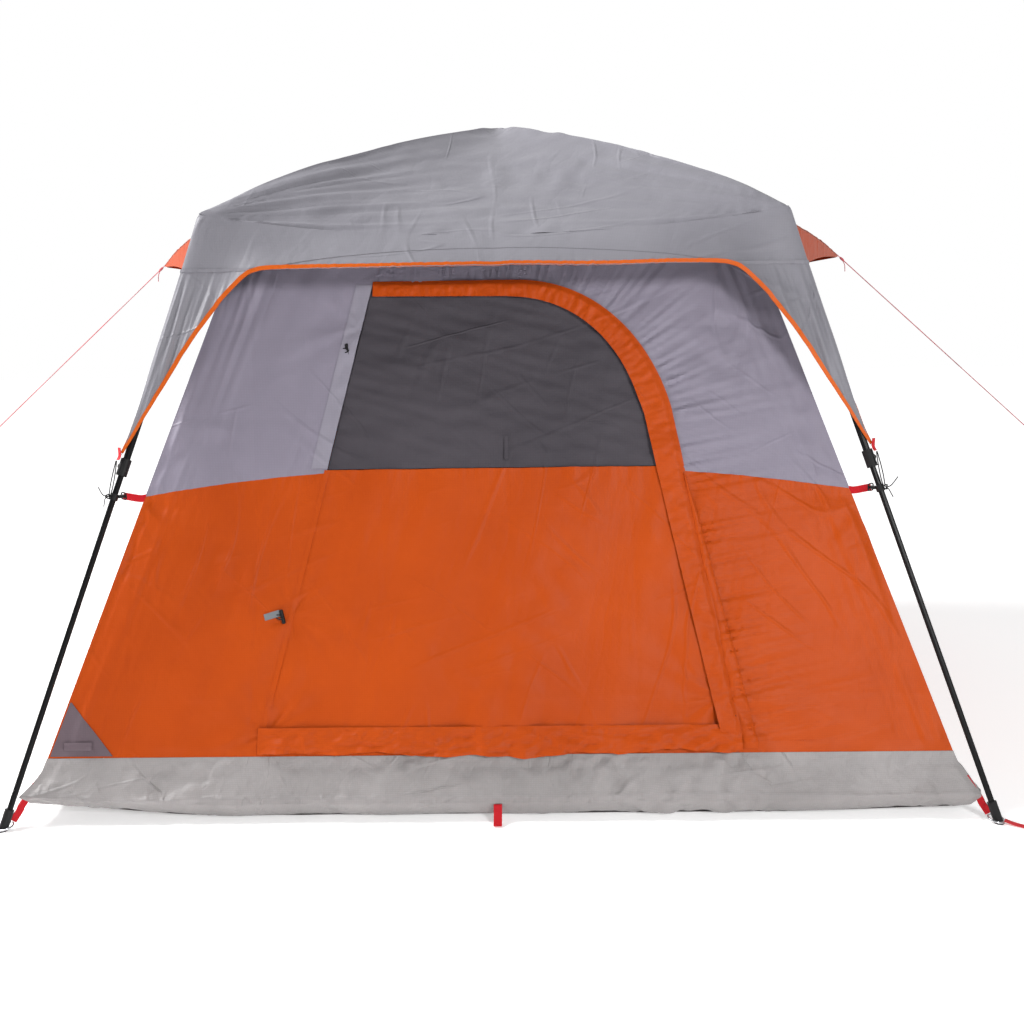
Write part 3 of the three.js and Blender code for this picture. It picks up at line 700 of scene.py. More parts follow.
def hem_points(corner, face, shares):
    """Lower edge of the fly on one face: share 0 at the middle of the side, 1 at the wing's tip on the leg."""
    sx, sy = CORNERS[corner]
    slope = (WING_TIP - FLY_CORNER) / (FLY_CORNER_Z - WING_TIP_Z)
    visor_corner = FLY_CORNER + (FLY_CORNER_Z - VISOR_Z) * slope
    from_corner = visor_corner * (1 - shares)
    climb = -np.log(np.exp(-HEM_BEND * from_corner / WING_WIDTH) + math.exp(-HEM_BEND)) / HEM_BEND
    climb = np.clip(climb, 0, 1)
    z = WING_TIP_Z + (VISOR_Z - WING_TIP_Z) * (1 - (1 - climb) ** 1.35)
    corner_at = FLY_CORNER + (FLY_CORNER_Z - z) * slope
    across = corner_at - from_corner
    out = VISOR_MID + (corner_at - VISOR_MID) * shares ** 2
    if face == "front":
        return np.stack([sx * across, sy * out, z], axis=1)
    return np.stack([sx * out, sy * across, z], axis=1)


def eave_points(corner, face, shares):
    turns = shares * 0.5 if face == "front" else 1 - shares * 0.5
    return fly_roof_grid(corner, turns, np.array([1.0]))[0]


def skirt_wrinkles(grid, share, drop):
    """Long folds down the wing, from the shoulder to its tip; small puckers along the hem."""
    wing = smooth(share, 0.70, 0.86) * smooth(VISOR_Z + 0.035 - grid[..., 2], 0, 0.14)
    visor_part = 1 - smooth(share, 0.72, 0.86)
    flat = grid.reshape(-1, 3)
    folds = noise_over(share.ravel() * 34, drop.ravel() * 1.4, 7.0, 13)
    folds = folds + 0.4 * noise_over(share.ravel() * 80, drop.ravel() * 2.4, 4.0, 23)
    folds = folds.reshape(share.shape)
    slow = noise(flat / 0.28, 9).reshape(share.shape)
    hem = noise_over(share.ravel() * 60, 0.0, 2.0, 17)
    hem = hem.reshape(share.shape) * smooth(drop, 0.7, 1.0) * (1 - wing)
    middle = smooth(share, 0.0, 0.05)
    body = smooth(drop, 0.0, 0.25) * (1 - 0.5 * smooth(drop, 0.85, 1.0))
    edge = 1 - smooth(share, 0.985, 1.0)
    return 0.0095 * folds * wing * body * edge + 0.005 * slow * middle * edge * visor_part + 0.0022 * hem * middle


def skirt_grid(corner, face, shares, drop):
    """Shaped skirt cloth at columns of given share and rows of given drop (2-D)."""
    top = eave_points(corner, face, shares)
    hem = hem_points(corner, face, shares)
    base = top[None] + (hem - top)[None] * drop[..., None]
    base = round_visor_edge(base, corner, face, shares, drop)
    share = np.broadcast_to(shares[None, :], drop.shape)
    outward = outward_from(corner, face, SKIRT_LEAN)
    return finish_grid(draw_in_corner(base), skirt_wrinkles(base, share, drop), outward)


def fly_skirts():
    for corner in CORNERS:
        leg = f"leg_{corner}"
        for face in ("front", "side"):
            outward = np.array(outward_from(corner, face, SKIRT_LEAN))
            shares = np.linspace(0, 1, 150)
            top, hem = eave_points(corner, face, shares), hem_points(corner, face, shares)
            reach = np.minimum(1, (top[:, 2] - VISOR_Z) / (top[:, 2] - hem[:, 2]))
            level = np.linspace(0, 1, 24)[:, None]
            visor = skirt_grid(corner, face, shares, level * reach[None, :])
            cloth_piece(f"fly_visor_{face}_{corner}", visor, outward, FLY, leg, face,
                        replaced=f"fly_skirt_{corner}")
            lower = shares[(VISOR_Z - hem[:, 2]) > 0.004]
            shares_low = np.linspace(lower[0], 1, 56)
            top, low = eave_points(corner, face, shares_low), hem_points(corner, face, shares_low)
            reach_low = np.minimum(1, (top[:, 2] - VISOR_Z) / (top[:, 2] - low[:, 2]))
            level = np.linspace(0, 1, 64)[:, None]
            wing = skirt_grid(corner, face, shares_low, reach_low[None, :] + (1 - reach_low)[None, :] * level)
            cloth_piece(f"fly_wing_{face}_{corner}", wing, outward, FLY, leg, face=face)
            strap(f"fly_wing_seam_{face}_{corner}", wing[0] + outward * 0.0012, 0.009, outward, 0.0016, FLY, leg,
                  face=face)
            edge_shares = np.linspace(0, 1, 220)
            edge = skirt_grid(corner, face, edge_shares, np.linspace(0.98, 1, 3)[:, None] * np.ones((1, 220)))[-1]
            upward = eave_points(corner, face, edge_shares) - hem_points(corner, face, edge_shares)
            upward /= np.linalg.norm(upward, axis=1)[:, None]
            line = edge + upward * 0.0065 + outward * 0.0012
            taper = 0.0105 * (0.7 + 0.4 * (1 - smooth(edge_shares, 0.9, 1.0)))
            strap(f"fly_binding_{face}_{corner}", line, taper, outward, 0.0032, BINDING, leg, face=face)
            hem_shares = np.linspace(0.0, 0.66, 90)
            depth = 0.5 * (1 - (hem_shares / 0.68) ** 2) + 0.06
            rows = 1 - depth[None, :] * np.linspace(1.04, 1.0, 3)[:, None]
            stitched = skirt_grid(corner, face, hem_shares, rows)[-1] + outward * 0.0006
            strap(f"fly_hem_stitch_{face}_{corner}", stitched, 0.0020, outward, 0.0008, FLY_SEAM, leg,
                  face=face)


fly_roofs()
fly_skirts()


# ---------------------------------------------------------------- inner tent
def inner_half(z):
    share = (np.asarray(z, float) - WALL_BOTTOM_Z) / (WALL_TOP_Z - WALL_BOTTOM_Z)
    return INNER_BOTTOM + (INNER_TOP - INNER_BOTTOM) * share


def wall_seam_z(half_share):
    """The grey and orange seam: highest in the middle of a wall, lower at the corners."""
    return SEAM_Z + 0.004 - 0.07 * np.abs(half_share) ** 2.2


def door_hinge_x(z):
    share = (np.asarray(z, float) - DOOR_FOOT_Z) / (DOOR_TOP_Z - DOOR_FOOT_Z)
    return HINGE_FOOT_X + (HINGE_TOP_X - HINGE_FOOT_X) * share


def door_curve(count=80):
    """The zip line from the top left corner round the head of the door and down to the sill."""
    head = [(x, DOOR_TOP_Z) for x in np.linspace(HINGE_TOP_X, CURVE_X, count // 3, endpoint=False)]
    controls = np.array([(CURVE_X, DOOR_TOP_Z), (0.290, DOOR_TOP_Z), (0.440, 1.250), (SHOULDER_X, SHOULDER_Z)])
    arc = []
    for t in np.linspace(0, 1, count // 3, endpoint=False):
        weights = np.array([(1 - t) ** 3, 3 * t * (1 - t) ** 2, 3 * t * t * (1 - t), t ** 3])
        arc.append(tuple(weights @ controls))
    side = [(SHOULDER_X + (ZIP_FOOT_X - SHOULDER_X) * t, SHOULDER_Z + (DOOR_FOOT_Z - SHOULDER_Z) * t)
            for t in np.linspace(0, 1, count // 3 + 2)]
    return np.array(head + arc + side)


ZIP_LINE = door_curve(240)
ZIP_LENGTH = 2.6


def resample(points, count):
    points = np.asarray(points, float)
    steps = np.concatenate([[0], np.cumsum(np.linalg.norm(np.diff(points, axis=0), axis=1))])
    wanted = np.linspace(0, steps[-1], count)
    return np.stack([np.interp(wanted, steps, points[:, k]) for k in range(points.shape[1])], axis=1)


def zip_x(z):
    """X of the zip's right-hand run at a height."""
    falling = ZIP_LINE[np.argmax(ZIP_LINE[:, 0] >= CURVE_X - 1e-6):]
    order = np.argsort(falling[:, 1], kind="stable")
    return np.interp(z, falling[order, 1], falling[order, 0])


def fold_marks(x, z):
    """Faint creases from packing, on a loose grid."""
    total = np.zeros_like(x)
    for at in (-1.02, -0.68, -0.33, 0.02, 0.36, 0.71, 1.05):
        total += np.exp(-(((x - at - 0.02 * np.sin(z * 3.1)) / 0.006) ** 2))
    for at in (0.30, 0.55, 0.78, 1.05, 1.28):
        total += np.exp(-(((z - at - 0.01 * np.sin(x * 2.3)) / 0.006) ** 2))
    return total


PULLS = ((-0.56, 0.52, 0.22, 0.0045), (-0.36, 1.30, 0.20, 0.006), (-1.06, 0.84, 0.26, 0.008),
         (1.06, 0.84, 0.26, 0.008), (0.60, 0.30, 0.26, 0.008), (-0.62, 0.22, 0.26, 0.007), (0.45, 1.15, 0.25, 0.005))


def wall_wrinkles(points, face, zip_side=False):
    """Height of the wall cloth over its flat plane, from its place on the wall."""
    flat = points.reshape(-1, 3)
    lateral = flat[:, 0] if face == "front" else flat[:, 1]
    z = flat[:, 2]
    half = inner_half(z)
    from_corner = half - np.abs(lateral)
    slow = noise(flat / 0.5, 3)
    broad = stretched(flat, (0.25, 0.25, 1.0), 0.13, 5.0, 8)
    small = long_folds(flat, (((0.35, 0.35, 1.0), 0.060), ((1.0, 1.0, 0.30), 0.075), ((-0.6, -0.6, 1.0), 0.050)), 12)
    patchy = 0.35 + 0.65 * smooth(noise(flat / 0.35, 40), -0.1, 0.5)
    corner_folds = noise_over(from_corner / 0.022, z * 1.3, 0.0, 19)
    corner_folds *= np.exp(-((from_corner - 0.07) / 0.07) ** 2)
    seam_gap = z - wall_seam_z(lateral / half)
    pucker = noise_over(lateral / 0.016, z * 4, 0.0, 31)
    pucker *= np.exp(-(seam_gap / 0.035) ** 2)
    height = 0.007 * slow + 0.0058 * broad + 0.0068 * small * patchy + 0.0042 * corner_folds + 0.0020 * pucker
    height -= 0.0007 * fold_marks(lateral, z)
    if face == "front":
        for at_x, at_z, reach, depth in PULLS:
            away_x, away_z = flat[:, 0] - at_x, z - at_z
            far = np.hypot(away_x, away_z)
            bearing = np.arctan2(away_z, away_x)
            rays = noise_over(np.cos(bearing) * 2.2, np.sin(bearing) * 3.4, far * 6 + at_x, 37)
            height += depth * rays * np.exp(-((far / reach) ** 2)) * smooth(far, 0.0, 0.05)
    if zip_side:
        right = np.maximum(flat[:, 0] - zip_x(z), 0)
        above = np.maximum(z - (DOOR_TOP_Z - 0.02), 0)
        gap = np.where(z > SHOULDER_Z, distance_to_zip(flat[:, 0], z), right + above)
        gathers = noise_over(along_zip(flat[:, 0], z) / 0.014, gap * 3, 0.0, 44)
        height += 0.0092 * gathers * np.exp(-(gap / 0.13)) * smooth(gap, -0.01, 0.03)
    edge = smooth(from_corner, 0.0, 0.03) * smooth(z, TUB_Z, TUB_Z + 0.03)
    return (height * edge).reshape(points.shape[:2])


ZIP_SAMPLES = resample(ZIP_LINE, 160)
ZIP_STEPS = np.linspace(0, ZIP_LENGTH, 160)


def nearest_zip(x, z):
    best = np.zeros(len(x), int)
    least = np.full(len(x), 1e9)
    for i, (px, pz) in enumerate(ZIP_SAMPLES):
        gap = (x - px) ** 2 + (z - pz) ** 2
        better = gap < least
        best[better] = i
        least[better] = gap[better]
    return best, np.sqrt(least)


def distance_to_zip(x, z):
    return nearest_zip(x, z)[1]


def along_zip(x, z):
    best = nearest_zip(x, z)[0]
    tangent = tangents(ZIP_SAMPLES)
    step = (x - ZIP_SAMPLES[best, 0]) * tangent[best, 0] + (z - ZIP_SAMPLES[best, 1]) * tangent[best, 1]
    return ZIP_STEPS[best] + step


def to_wall(across, z, corner, face):
    """Points on a wall's plane from a signed distance along it and a height."""
    return on_face(across, inner_half(z), z, corner, face)


def add_wall(name, across, z, corner, face, material, zip_side=False, replaced=None, over=0.0):
    """A part of a wall with the wall's own folds, or a layer that lies over it."""
    grid = to_wall(across, z, corner, face)
    outward = outward_from(corner, face, WALL_LEAN)
    shaped = finish_grid(grid, wall_wrinkles(grid, face, zip_side) + over, outward)
    cloth_piece(name, shaped, outward, material, f"leg_{corner}", face, replaced)


def level_line(z):
    return lambda share: z + 0 * share


def band(corner, face, inner_edge, low, high, columns, rows):
    """Grid between an inner edge and the corner, from a lower to an upper line."""
    sign = CORNERS[corner][0 if face == "front" else 1]
    level, share = unit_steps(rows, columns)
    z = low(share) + (high(share) - low(share)) * level
    edge = inner_edge(z)
    return edge + (sign * inner_half(z) - edge) * share, z


def plain_walls():
    """Side and back walls, and the strip of the front wall left of the door."""
    for corner, (_, sy) in CORNERS.items():
        for face in ("front", "side"):
            if corner == "front_right" and face == "front":
                continue
            edge, seam = np.zeros_like, wall_seam_z
            if corner == "front_left" and face == "front":
                edge, seam = door_hinge_x, lambda s: wall_seam_z(0.45 + 0.55 * s)
            name = f"{face if sy < 0 or face == 'side' else 'back'}_{corner}"
            across, z = band(corner, face, edge, level_line(TUB_Z), seam, 130, 84)
            add_wall(f"wall_orange_{name}", across, z, corner, face, ORANGE, replaced=f"wall_{corner}")
            across, z = band(corner, face, edge, seam, level_line(WALL_TOP_Z), 130, 76)
            add_wall(f"wall_grey_{name}", across, z, corner, face, WALL_GREY)


def front_right_wall():
    corner, face = "front_right", "front"
    seam = lambda s: wall_seam_z(0.55 + 0.45 * s)
    across, z = band(corner, face, zip_x, level_line(DOOR_FOOT_Z), seam, 90, 110)
    add_wall("wall_orange_front_right", across, z, corner, face, ORANGE, True, "wall_front_right")
    across, z = band(corner, face, door_hinge_x, level_line(TUB_Z), level_line(DOOR_FOOT_Z), 200, 5)
    add_wall("wall_sill_front_right", across, z, corner, face, ORANGE)
    head = ZIP_LINE[ZIP_LINE[:, 1] > float(seam(0))]
    low = np.array([[zip_x(float(seam(0))), float(seam(0))]])
    rim = resample(np.concatenate([head, low]), 200)
    top_right = inner_half(WALL_TOP_Z)
    down = np.linspace(WALL_TOP_Z, float(seam(1.0)), 30)
    outer = np.concatenate([[[float(door_hinge_x(WALL_TOP_Z)), WALL_TOP_Z]],
                            [[top_right, WALL_TOP_Z]],
                            np.stack([inner_half(down[1:]), down[1:]], axis=1)])
    outer = resample(outer, 200)
    level = np.linspace(0, 1, 60)[:, None, None]
    flat = rim[None] + (outer - rim)[None] * level
    lower_edge = np.linspace(0, 1, 60)
    flat[:, -1, 1] = seam(lower_edge)
    add_wall("wall_grey_front_right", flat[..., 0], flat[..., 1], corner, face, WALL_GREY, True)


plain_walls()
front_right_wall()


# ---------------------------------------------------------------- tub: the floor sheet turned up round the edge
def tub_profile(u):
    """Half width and height of the tub's outer face, from the orange seam (u=0) to under the tent (u=1)."""
    keys = np.array([0.0, 0.18, 0.62, 0.70, 0.86, 1.0])
    half = np.interp(u, keys, [inner_half(TUB_Z) + 0.001, inner_half(TUB_Z) + 0.012, INNER_BOTTOM + 0.003,
                               INNER_BOTTOM + 0.005, INNER_BOTTOM - 0.016, INNER_BOTTOM - 0.040])
    z = np.interp(u, keys, [TUB_Z, TUB_Z - 0.03, 0.060, 0.050, 0.016, 0.002])
    return half, z


def corner_lift(sx, across, out):
    """The webbing at the feet draws the tub's corners up a little, more on the left."""
    height = 0.038 if sx < 0 else 0.012
    near = np.minimum(np.abs(across), np.abs(out)) / INNER_BOTTOM
    far = np.maximum(np.abs(across), np.abs(out)) / INNER_BOTTOM
    return height * smooth(near, 0.5, 1.0) ** 1.5 * smooth(far, 0.7, 1.0)


def tubs():
    columns, rows = 150, 40
    for corner, (sx, sy) in CORNERS.items():
        for face in ("front", "side"):
            level, share = unit_steps(rows, columns)
            half, z = tub_profile(np.broadcast_to(level, (rows, columns)))
            sign = sx if face == "front" else sy
            z = z + corner_lift(sx, sign * half * share, half) * smooth(level, 0.2, 1.0)
            across = sign * half * share
            grid = on_face(across, half, z, corner, face)
            flat = grid.reshape(-1, 3)
            lines = (((1.0, 1.0, 0.45), 0.030), ((-1.0, -1.0, 0.6), 0.036), ((0.25, 0.25, 1.0), 0.042))
            crumple = 1.2 * long_folds(flat, lines, 52) + 0.8 * noise(flat / 0.2, 58) + 0.35 * crease(flat / 0.03, 61)
            fold_z = 0.066 + 0.006 * noise(flat * [2.2, 2.2, 0] + 5.0, 63).reshape(rows, columns)
            packed = np.exp(-(((z - fold_z) / 0.0042) ** 2)) - 0.5 * smooth(fold_z - z, 0.0, 0.012)
            ends = smooth(level, 0.0, 0.12) * (1 - smooth(share, 0.985, 1.0))
            height = (0.0066 * crumple.reshape(rows, columns) + 0.0034 * packed) * ends
            outward = outward_from(corner, face, WALL_LEAN)
            shaped = finish_grid(grid, height, outward)
            shaped[..., 2] = np.maximum(shaped[..., 2], 0.0016)
            cloth_piece(f"tub_{face}_{corner}", shaped, outward, TUB, f"leg_{corner}", face=face)


def floor_wedges():
    """The floor sheet in narrow sectors."""
    count = 32
    edge = FLOOR_HALF - 0.020
    for i in range(count):
        angles = np.linspace(i, i + 1, 12) * 2 * math.pi / count
        reach = edge / np.maximum(np.abs(np.cos(angles)), np.abs(np.sin(angles)))
        shares = np.linspace(0.004, 1, 46)[:, None]
        x = reach * np.cos(angles) * shares
        y = reach * np.sin(angles) * shares
        flat = np.stack([x, y, np.zeros_like(x)], axis=-1)
        height = 0.0022 + 0.0014 * noise(flat.reshape(-1, 3) / 0.12, 71).reshape(x.shape)
        lift = np.where(x < 0, corner_lift(-1, x, y), corner_lift(1, x, y))
        flat[..., 2] = np.maximum(height, 0.0014) + lift
        piece = cloth_piece(f"floor_sector_{i:02d}", flat, (0, 0, 1), TUB, "ground", thick=0.0009)
        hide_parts("floor_sheet")
        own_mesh(piece)


tubs()
floor_wedges()


# ---------------------------------------------------------------- door
def door_cloth():
    columns = 150
    level, share = unit_steps(110, columns)
    outward = FRONT_OUT
    z = (DOOR_FOOT_Z + 0.003) + (SEAM_Z - DOOR_FOOT_Z - 0.003) * level + 0 * share
    left, right = door_hinge_x(z) + 0.0006, zip_x(z) - 0.004
    grid = to_wall(left + (right - left) * share, z, "front_left", "front")
    flat = grid.reshape(-1, 3)
    height = wall_wrinkles(grid, "front")
    slack = 0.004 * stretched(flat, (1, 0, 0.1), 0.09, 6.0, 81).reshape(z.shape) * smooth(level, 0.15, 0.0)
    folds = 0.0022 * stretched(flat, (0.2, 0, 1), 0.05, 6, 84).reshape(z.shape) * smooth(z, SEAM_Z - 0.12, SEAM_Z)
    panel = finish_grid(grid, height + slack + folds, outward)
    piece = cloth_piece("door_orange_panel", panel, outward, ORANGE, "door")
    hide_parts("door_panel")
    door_fold(piece)
    level = np.linspace(0, 1, 90)[:, None] ** 0.8
    z = SEAM_Z + 0.002 + (DOOR_TOP_Z - 0.004 - SEAM_Z) * level + 0 * share
    left, right = door_hinge_x(z) + 0.0008, zip_x(z) - 0.004
    grid = to_wall(left + (right - left) * share, z, "front_left", "front")
    flat = grid.reshape(-1, 3)
    ripple = stretched(flat, (1, 0, -0.28), 0.026, 7.0, 91) * 0.9 + stretched(flat, (1, 0, 0.3), 0.05, 5.0, 95)
    ripple = ripple.reshape(z.shape) * 0.0034 - 0.004 + 0.005 * noise(flat / 0.3, 99).reshape(z.shape)
    window = finish_grid(grid, ripple, outward)
    piece = cloth_piece("door_mesh_window", window, outward, MESH, "door")
    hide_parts("door_window")
    door_fold(piece)


def door_fold(piece):
    """Gives a door piece a mesh of its own."""
    gather_on_leg(piece)


ZIP_CLIMB = 0.75 * 0.933  # the rise of the slider: its travel times the upward part of its direction
FLAP_THICK = 0.0016


def storm_flap():
    """Gathered strip sewn along the zip's outer side, lying over the zip."""
    line = resample(ZIP_LINE, 300)
    tangent = tangents(line)
    inward = np.stack([tangent[:, 1], -tangent[:, 0]], axis=1)
    count = len(line)
    run = np.linspace(0, 1, count)
    width = np.interp(run, [0, 0.2, 0.38, 0.5, 0.62, 0.8, 1.0], [0.042, 0.046, 0.066, 0.080, 0.076, 0.066, 0.054])
    rows = 26
    across = np.linspace(0, 1, rows)
    grid = np.zeros((rows, count, 3))
    length = run * ZIP_LENGTH
    for i, share in enumerate(across):
        flat = line + inward * (share * width[:, None] - 0.005)
        points = np.stack([length / 0.020, np.full(count, share * 1.2), np.zeros(count)], axis=1)
        gathers = noise(points, 103) + 0.6 * crease(points * [1.7, 1.5, 1], 107)
        gathers = gathers + 0.4 * noise(points * [3.1, 2.5, 1], 109)
        above_foot = flat[:, 1] - DOOR_FOOT_Z - 0.06
        at_foot, at_top = np.exp(-((above_foot / 0.03) ** 2)), np.exp(-(((above_foot - ZIP_CLIMB) / 0.035) ** 2))
        over_slider = 0.007 * (at_foot + at_top)
        fullness = smooth(share, 0.0, 0.3) * (1 - 0.45 * share)
        rise = 0.0042 + 0.0065 * fullness + 0.0042 * gathers * (0.3 + 0.7 * fullness) + over_slider
        y = -inner_half(flat[:, 1]) - rise
        grid[i] = np.stack([flat[:, 0], y, flat[:, 1]], axis=1)
    cloth_piece("storm_flap", grid, FLAP_OUT, ORANGE, "leg_front_right",
                thick=FLAP_THICK, face="front")
    count, rows = 220, 22
    level, share = unit_steps(rows, count)
    x = HINGE_FOOT_X - 0.004 + (ZIP_FOOT_X + 0.004 - HINGE_FOOT_X) * share + 0 * level
    z = DOOR_FOOT_Z - 0.022 + 0.066 * level + (0.006 * np.sin(share * 9) + 0.004 * np.sin(share * 31)) * (1 - level)
    points = np.stack([x.ravel() / 0.05, z.ravel() / 0.02, np.zeros(x.size)], axis=1)
    ripple = noise(points, 111).reshape(x.shape)
    fine = crease(points * [2.2, 1.2, 1], 117).reshape(x.shape)
    loose = (1 - level) ** 0.7
    rise = 0.0024 + 0.0120 * loose + 0.0085 * ripple * (0.3 + loose) + 0.0042 * fine
    rise = rise * smooth(share, -0.02, 0.05) + 0.0015
    grid = np.stack([x, -inner_half(z) - rise, z], axis=-1)
    cloth_piece("sill_flap", grid, FLAP_OUT, ORANGE, "leg_front_right",
                thick=FLAP_THICK, face="front")


def placket():
    """Second layer beside the lower run of the zip, and the seam along the door's hinge edge."""
    level, share = unit_steps(120, 14)
    z = DOOR_FOOT_Z - 0.018 + (0.90 - DOOR_FOOT_Z) * level + 0 * share
    width = 0.003 + 0.043 * (1 - level) ** 0.7
    x = zip_x(z) - 0.002 + width * share
    ripple = noise_over(x.ravel() / 0.05, z.ravel() / 0.06, 0.0, 151).reshape(x.shape)
    rise = 0.0024 + 0.0045 * np.sin(math.pi * share) ** 0.6 + 0.0022 * ripple
    add_wall("zip_placket", x, z, "front_right", "front", ORANGE, True, over=rise)
    share = np.linspace(0, 1, 6)[None, :]
    z = np.linspace(DOOR_FOOT_Z, SEAM_Z, 90)[:, None] + 0 * share
    x = door_hinge_x(z) - 0.007 + 0.014 * share
    add_wall("hinge_seam_orange", x, z, "front_left", "front", ORANGE, over=0.0014)


def hinge_strip():
    """Doubled strip of cloth left of the door, where the rolled door is tied."""
    level, share = unit_steps(70, 16)
    z = SEAM_Z + 0.004 + (DOOR_TOP_Z - 0.01 - SEAM_Z) * level + 0 * share
    x = door_hinge_x(z) - 0.046 + 0.0455 * share
    flat = to_wall(x, z, "front_left", "front").reshape(-1, 3)
    rise = 0.0024 + 0.0014 * noise(flat / 0.03, 121).reshape(z.shape)
    add_wall("hinge_strip", x, z, "front_left", "front", STRIP_GREY, over=rise)


door_cloth()
placket()
storm_flap()
hinge_strip()


# ---------------------------------------------------------------- ceiling under the fly
CEILING_Z = 1.84


def ceilings():
    """Mesh roof of the inner tent, hung below the roof poles."""
    turns = np.linspace(0, 1, 61)
    reaches = np.linspace(0.03, 1.0, 40)
    for corner, (sx, sy) in CORNERS.items():
        turn, reach = np.meshgrid(turns, reaches)
        to_ridge = 1 - np.abs(turn - 0.5) * 2
        out = INNER_TOP * reach
        x = np.where(turn <= 0.5, out * to_ridge, out)
        y = np.where(turn <= 0.5, out, out * to_ridge)
        z = CEILING_Z + (WALL_TOP_Z - CEILING_Z) * reach + 0.05 * reach * (1 - reach) * to_ridge
        z = z - 0.03 * (1 - to_ridge) * reach * (1 - reach)
        grid = np.stack([sx * x, sy * y, z], axis=-1)
        flat = grid.reshape(-1, 3)
        grid[..., 2] += 0.003 * noise(flat / 0.12, 131).reshape(z.shape) * smooth(1 - reach, 0, 0.1)
        piece = cloth_piece(f"ceiling_mesh_{corner}", grid, (0, 0, 1), CEILING, f"roof_{corner}")
        gather_on_pole(piece)


ceilings()


# ---------------------------------------------------------------- awnings
def awnings():
    """Orange side canopies: a top sheet from the eave out to the tip and a gusset down to the visor."""
    for side, name in ((-1, "left"), (1, "right")):
        for corner in (f"front_{name}", f"back_{name}"):
            sx, sy = CORNERS[corner]
            rows, columns = 40, 40
            level, share = unit_steps(rows, columns)
            eave = eave_points(corner, "side", (1 - share[0]) * AWNING_REACH / FLY_CORNER)
            eave = np.abs(eave) + [0.006, 0, -0.004]
            root = np.broadcast_to(eave[None], (rows, columns, 3))
            tip = np.stack([np.full(columns, AWNING_TIP[0]), 0.010 * (1 - share[0]), np.full(columns, AWNING_TIP[2])],
                           axis=-1)
            grid = root + (tip - root) * level[..., None]
            sag = np.sin(math.pi * level) * 0.018 * np.sin(math.pi * np.clip(share * 0.5 + 0.25, 0, 1))
            bow = np.sin(math.pi * level) * (1 - share) ** 2
            grid[..., 0] += 0.010 * bow
            grid[..., 2] += 0.004 * bow - sag * share
            flat = grid.reshape(-1, 3)
            grid[..., 2] += 0.003 * stretched(flat, (1, 0.2, 0), 0.03, 6, 141).reshape(rows, columns) * smooth(
                level, 0, 0.2) * (1 - smooth(level, 0.9, 1)) * smooth(share, 1.0, 0.9)
            grid *= [sx, sy, 1]
            # The awnings use the darker copy of the orange cloth, painted shade against the strong key light.
            cloth_piece(f"awning_top_{corner}", grid, (0, 0, 1), AWNING_PAINTED_SHADE, f"leg_{corner}", "side", f"awning_{name}")
            columns = 24
            share = np.linspace(0, 1, columns)[:, None]
            corner_root = np.abs(eave[0]) + [0.002, 0, -0.004]
            upper = corner_root + share * (np.array([AWNING_TIP[0], 0.010, AWNING_TIP[2] - 0.004]) - corner_root)
            upper = upper + np.sin(math.pi * share) * np.array([0.010, 0, 0.003])
            lower_start = np.array([0.922, 0.60, 1.464])
            lower = lower_start + share * (np.array([AWNING_TIP[0], 0.010, AWNING_TIP[2] - 0.008]) - lower_start)
            lower[:, 2] += 0.012 * np.sin(math.pi * share[:, 0])
            level = np.linspace(0, 1, 16)[:, None, None]
            gusset = upper[None] + (lower - upper)[None] * level
            gusset *= [sx, sy, 1]
            cloth_piece(f"awning_gusset_{corner}", gusset, (0.3 * sx, sy, 0), AWNING_PAINTED_SHADE, f"leg_{corner}", face="side")
        path = [(side * (AWNING_TIP[0] + d), -0.001, AWNING_TIP[2] - 0.3 * d) for d in (-0.022, -0.014, -0.006, 0.0)]
        strap(f"awning_tab_{name}", path, 0.016, (0, 0, 1), 0.0022, RED, f"leg_front_{name}", face="side")


awnings()


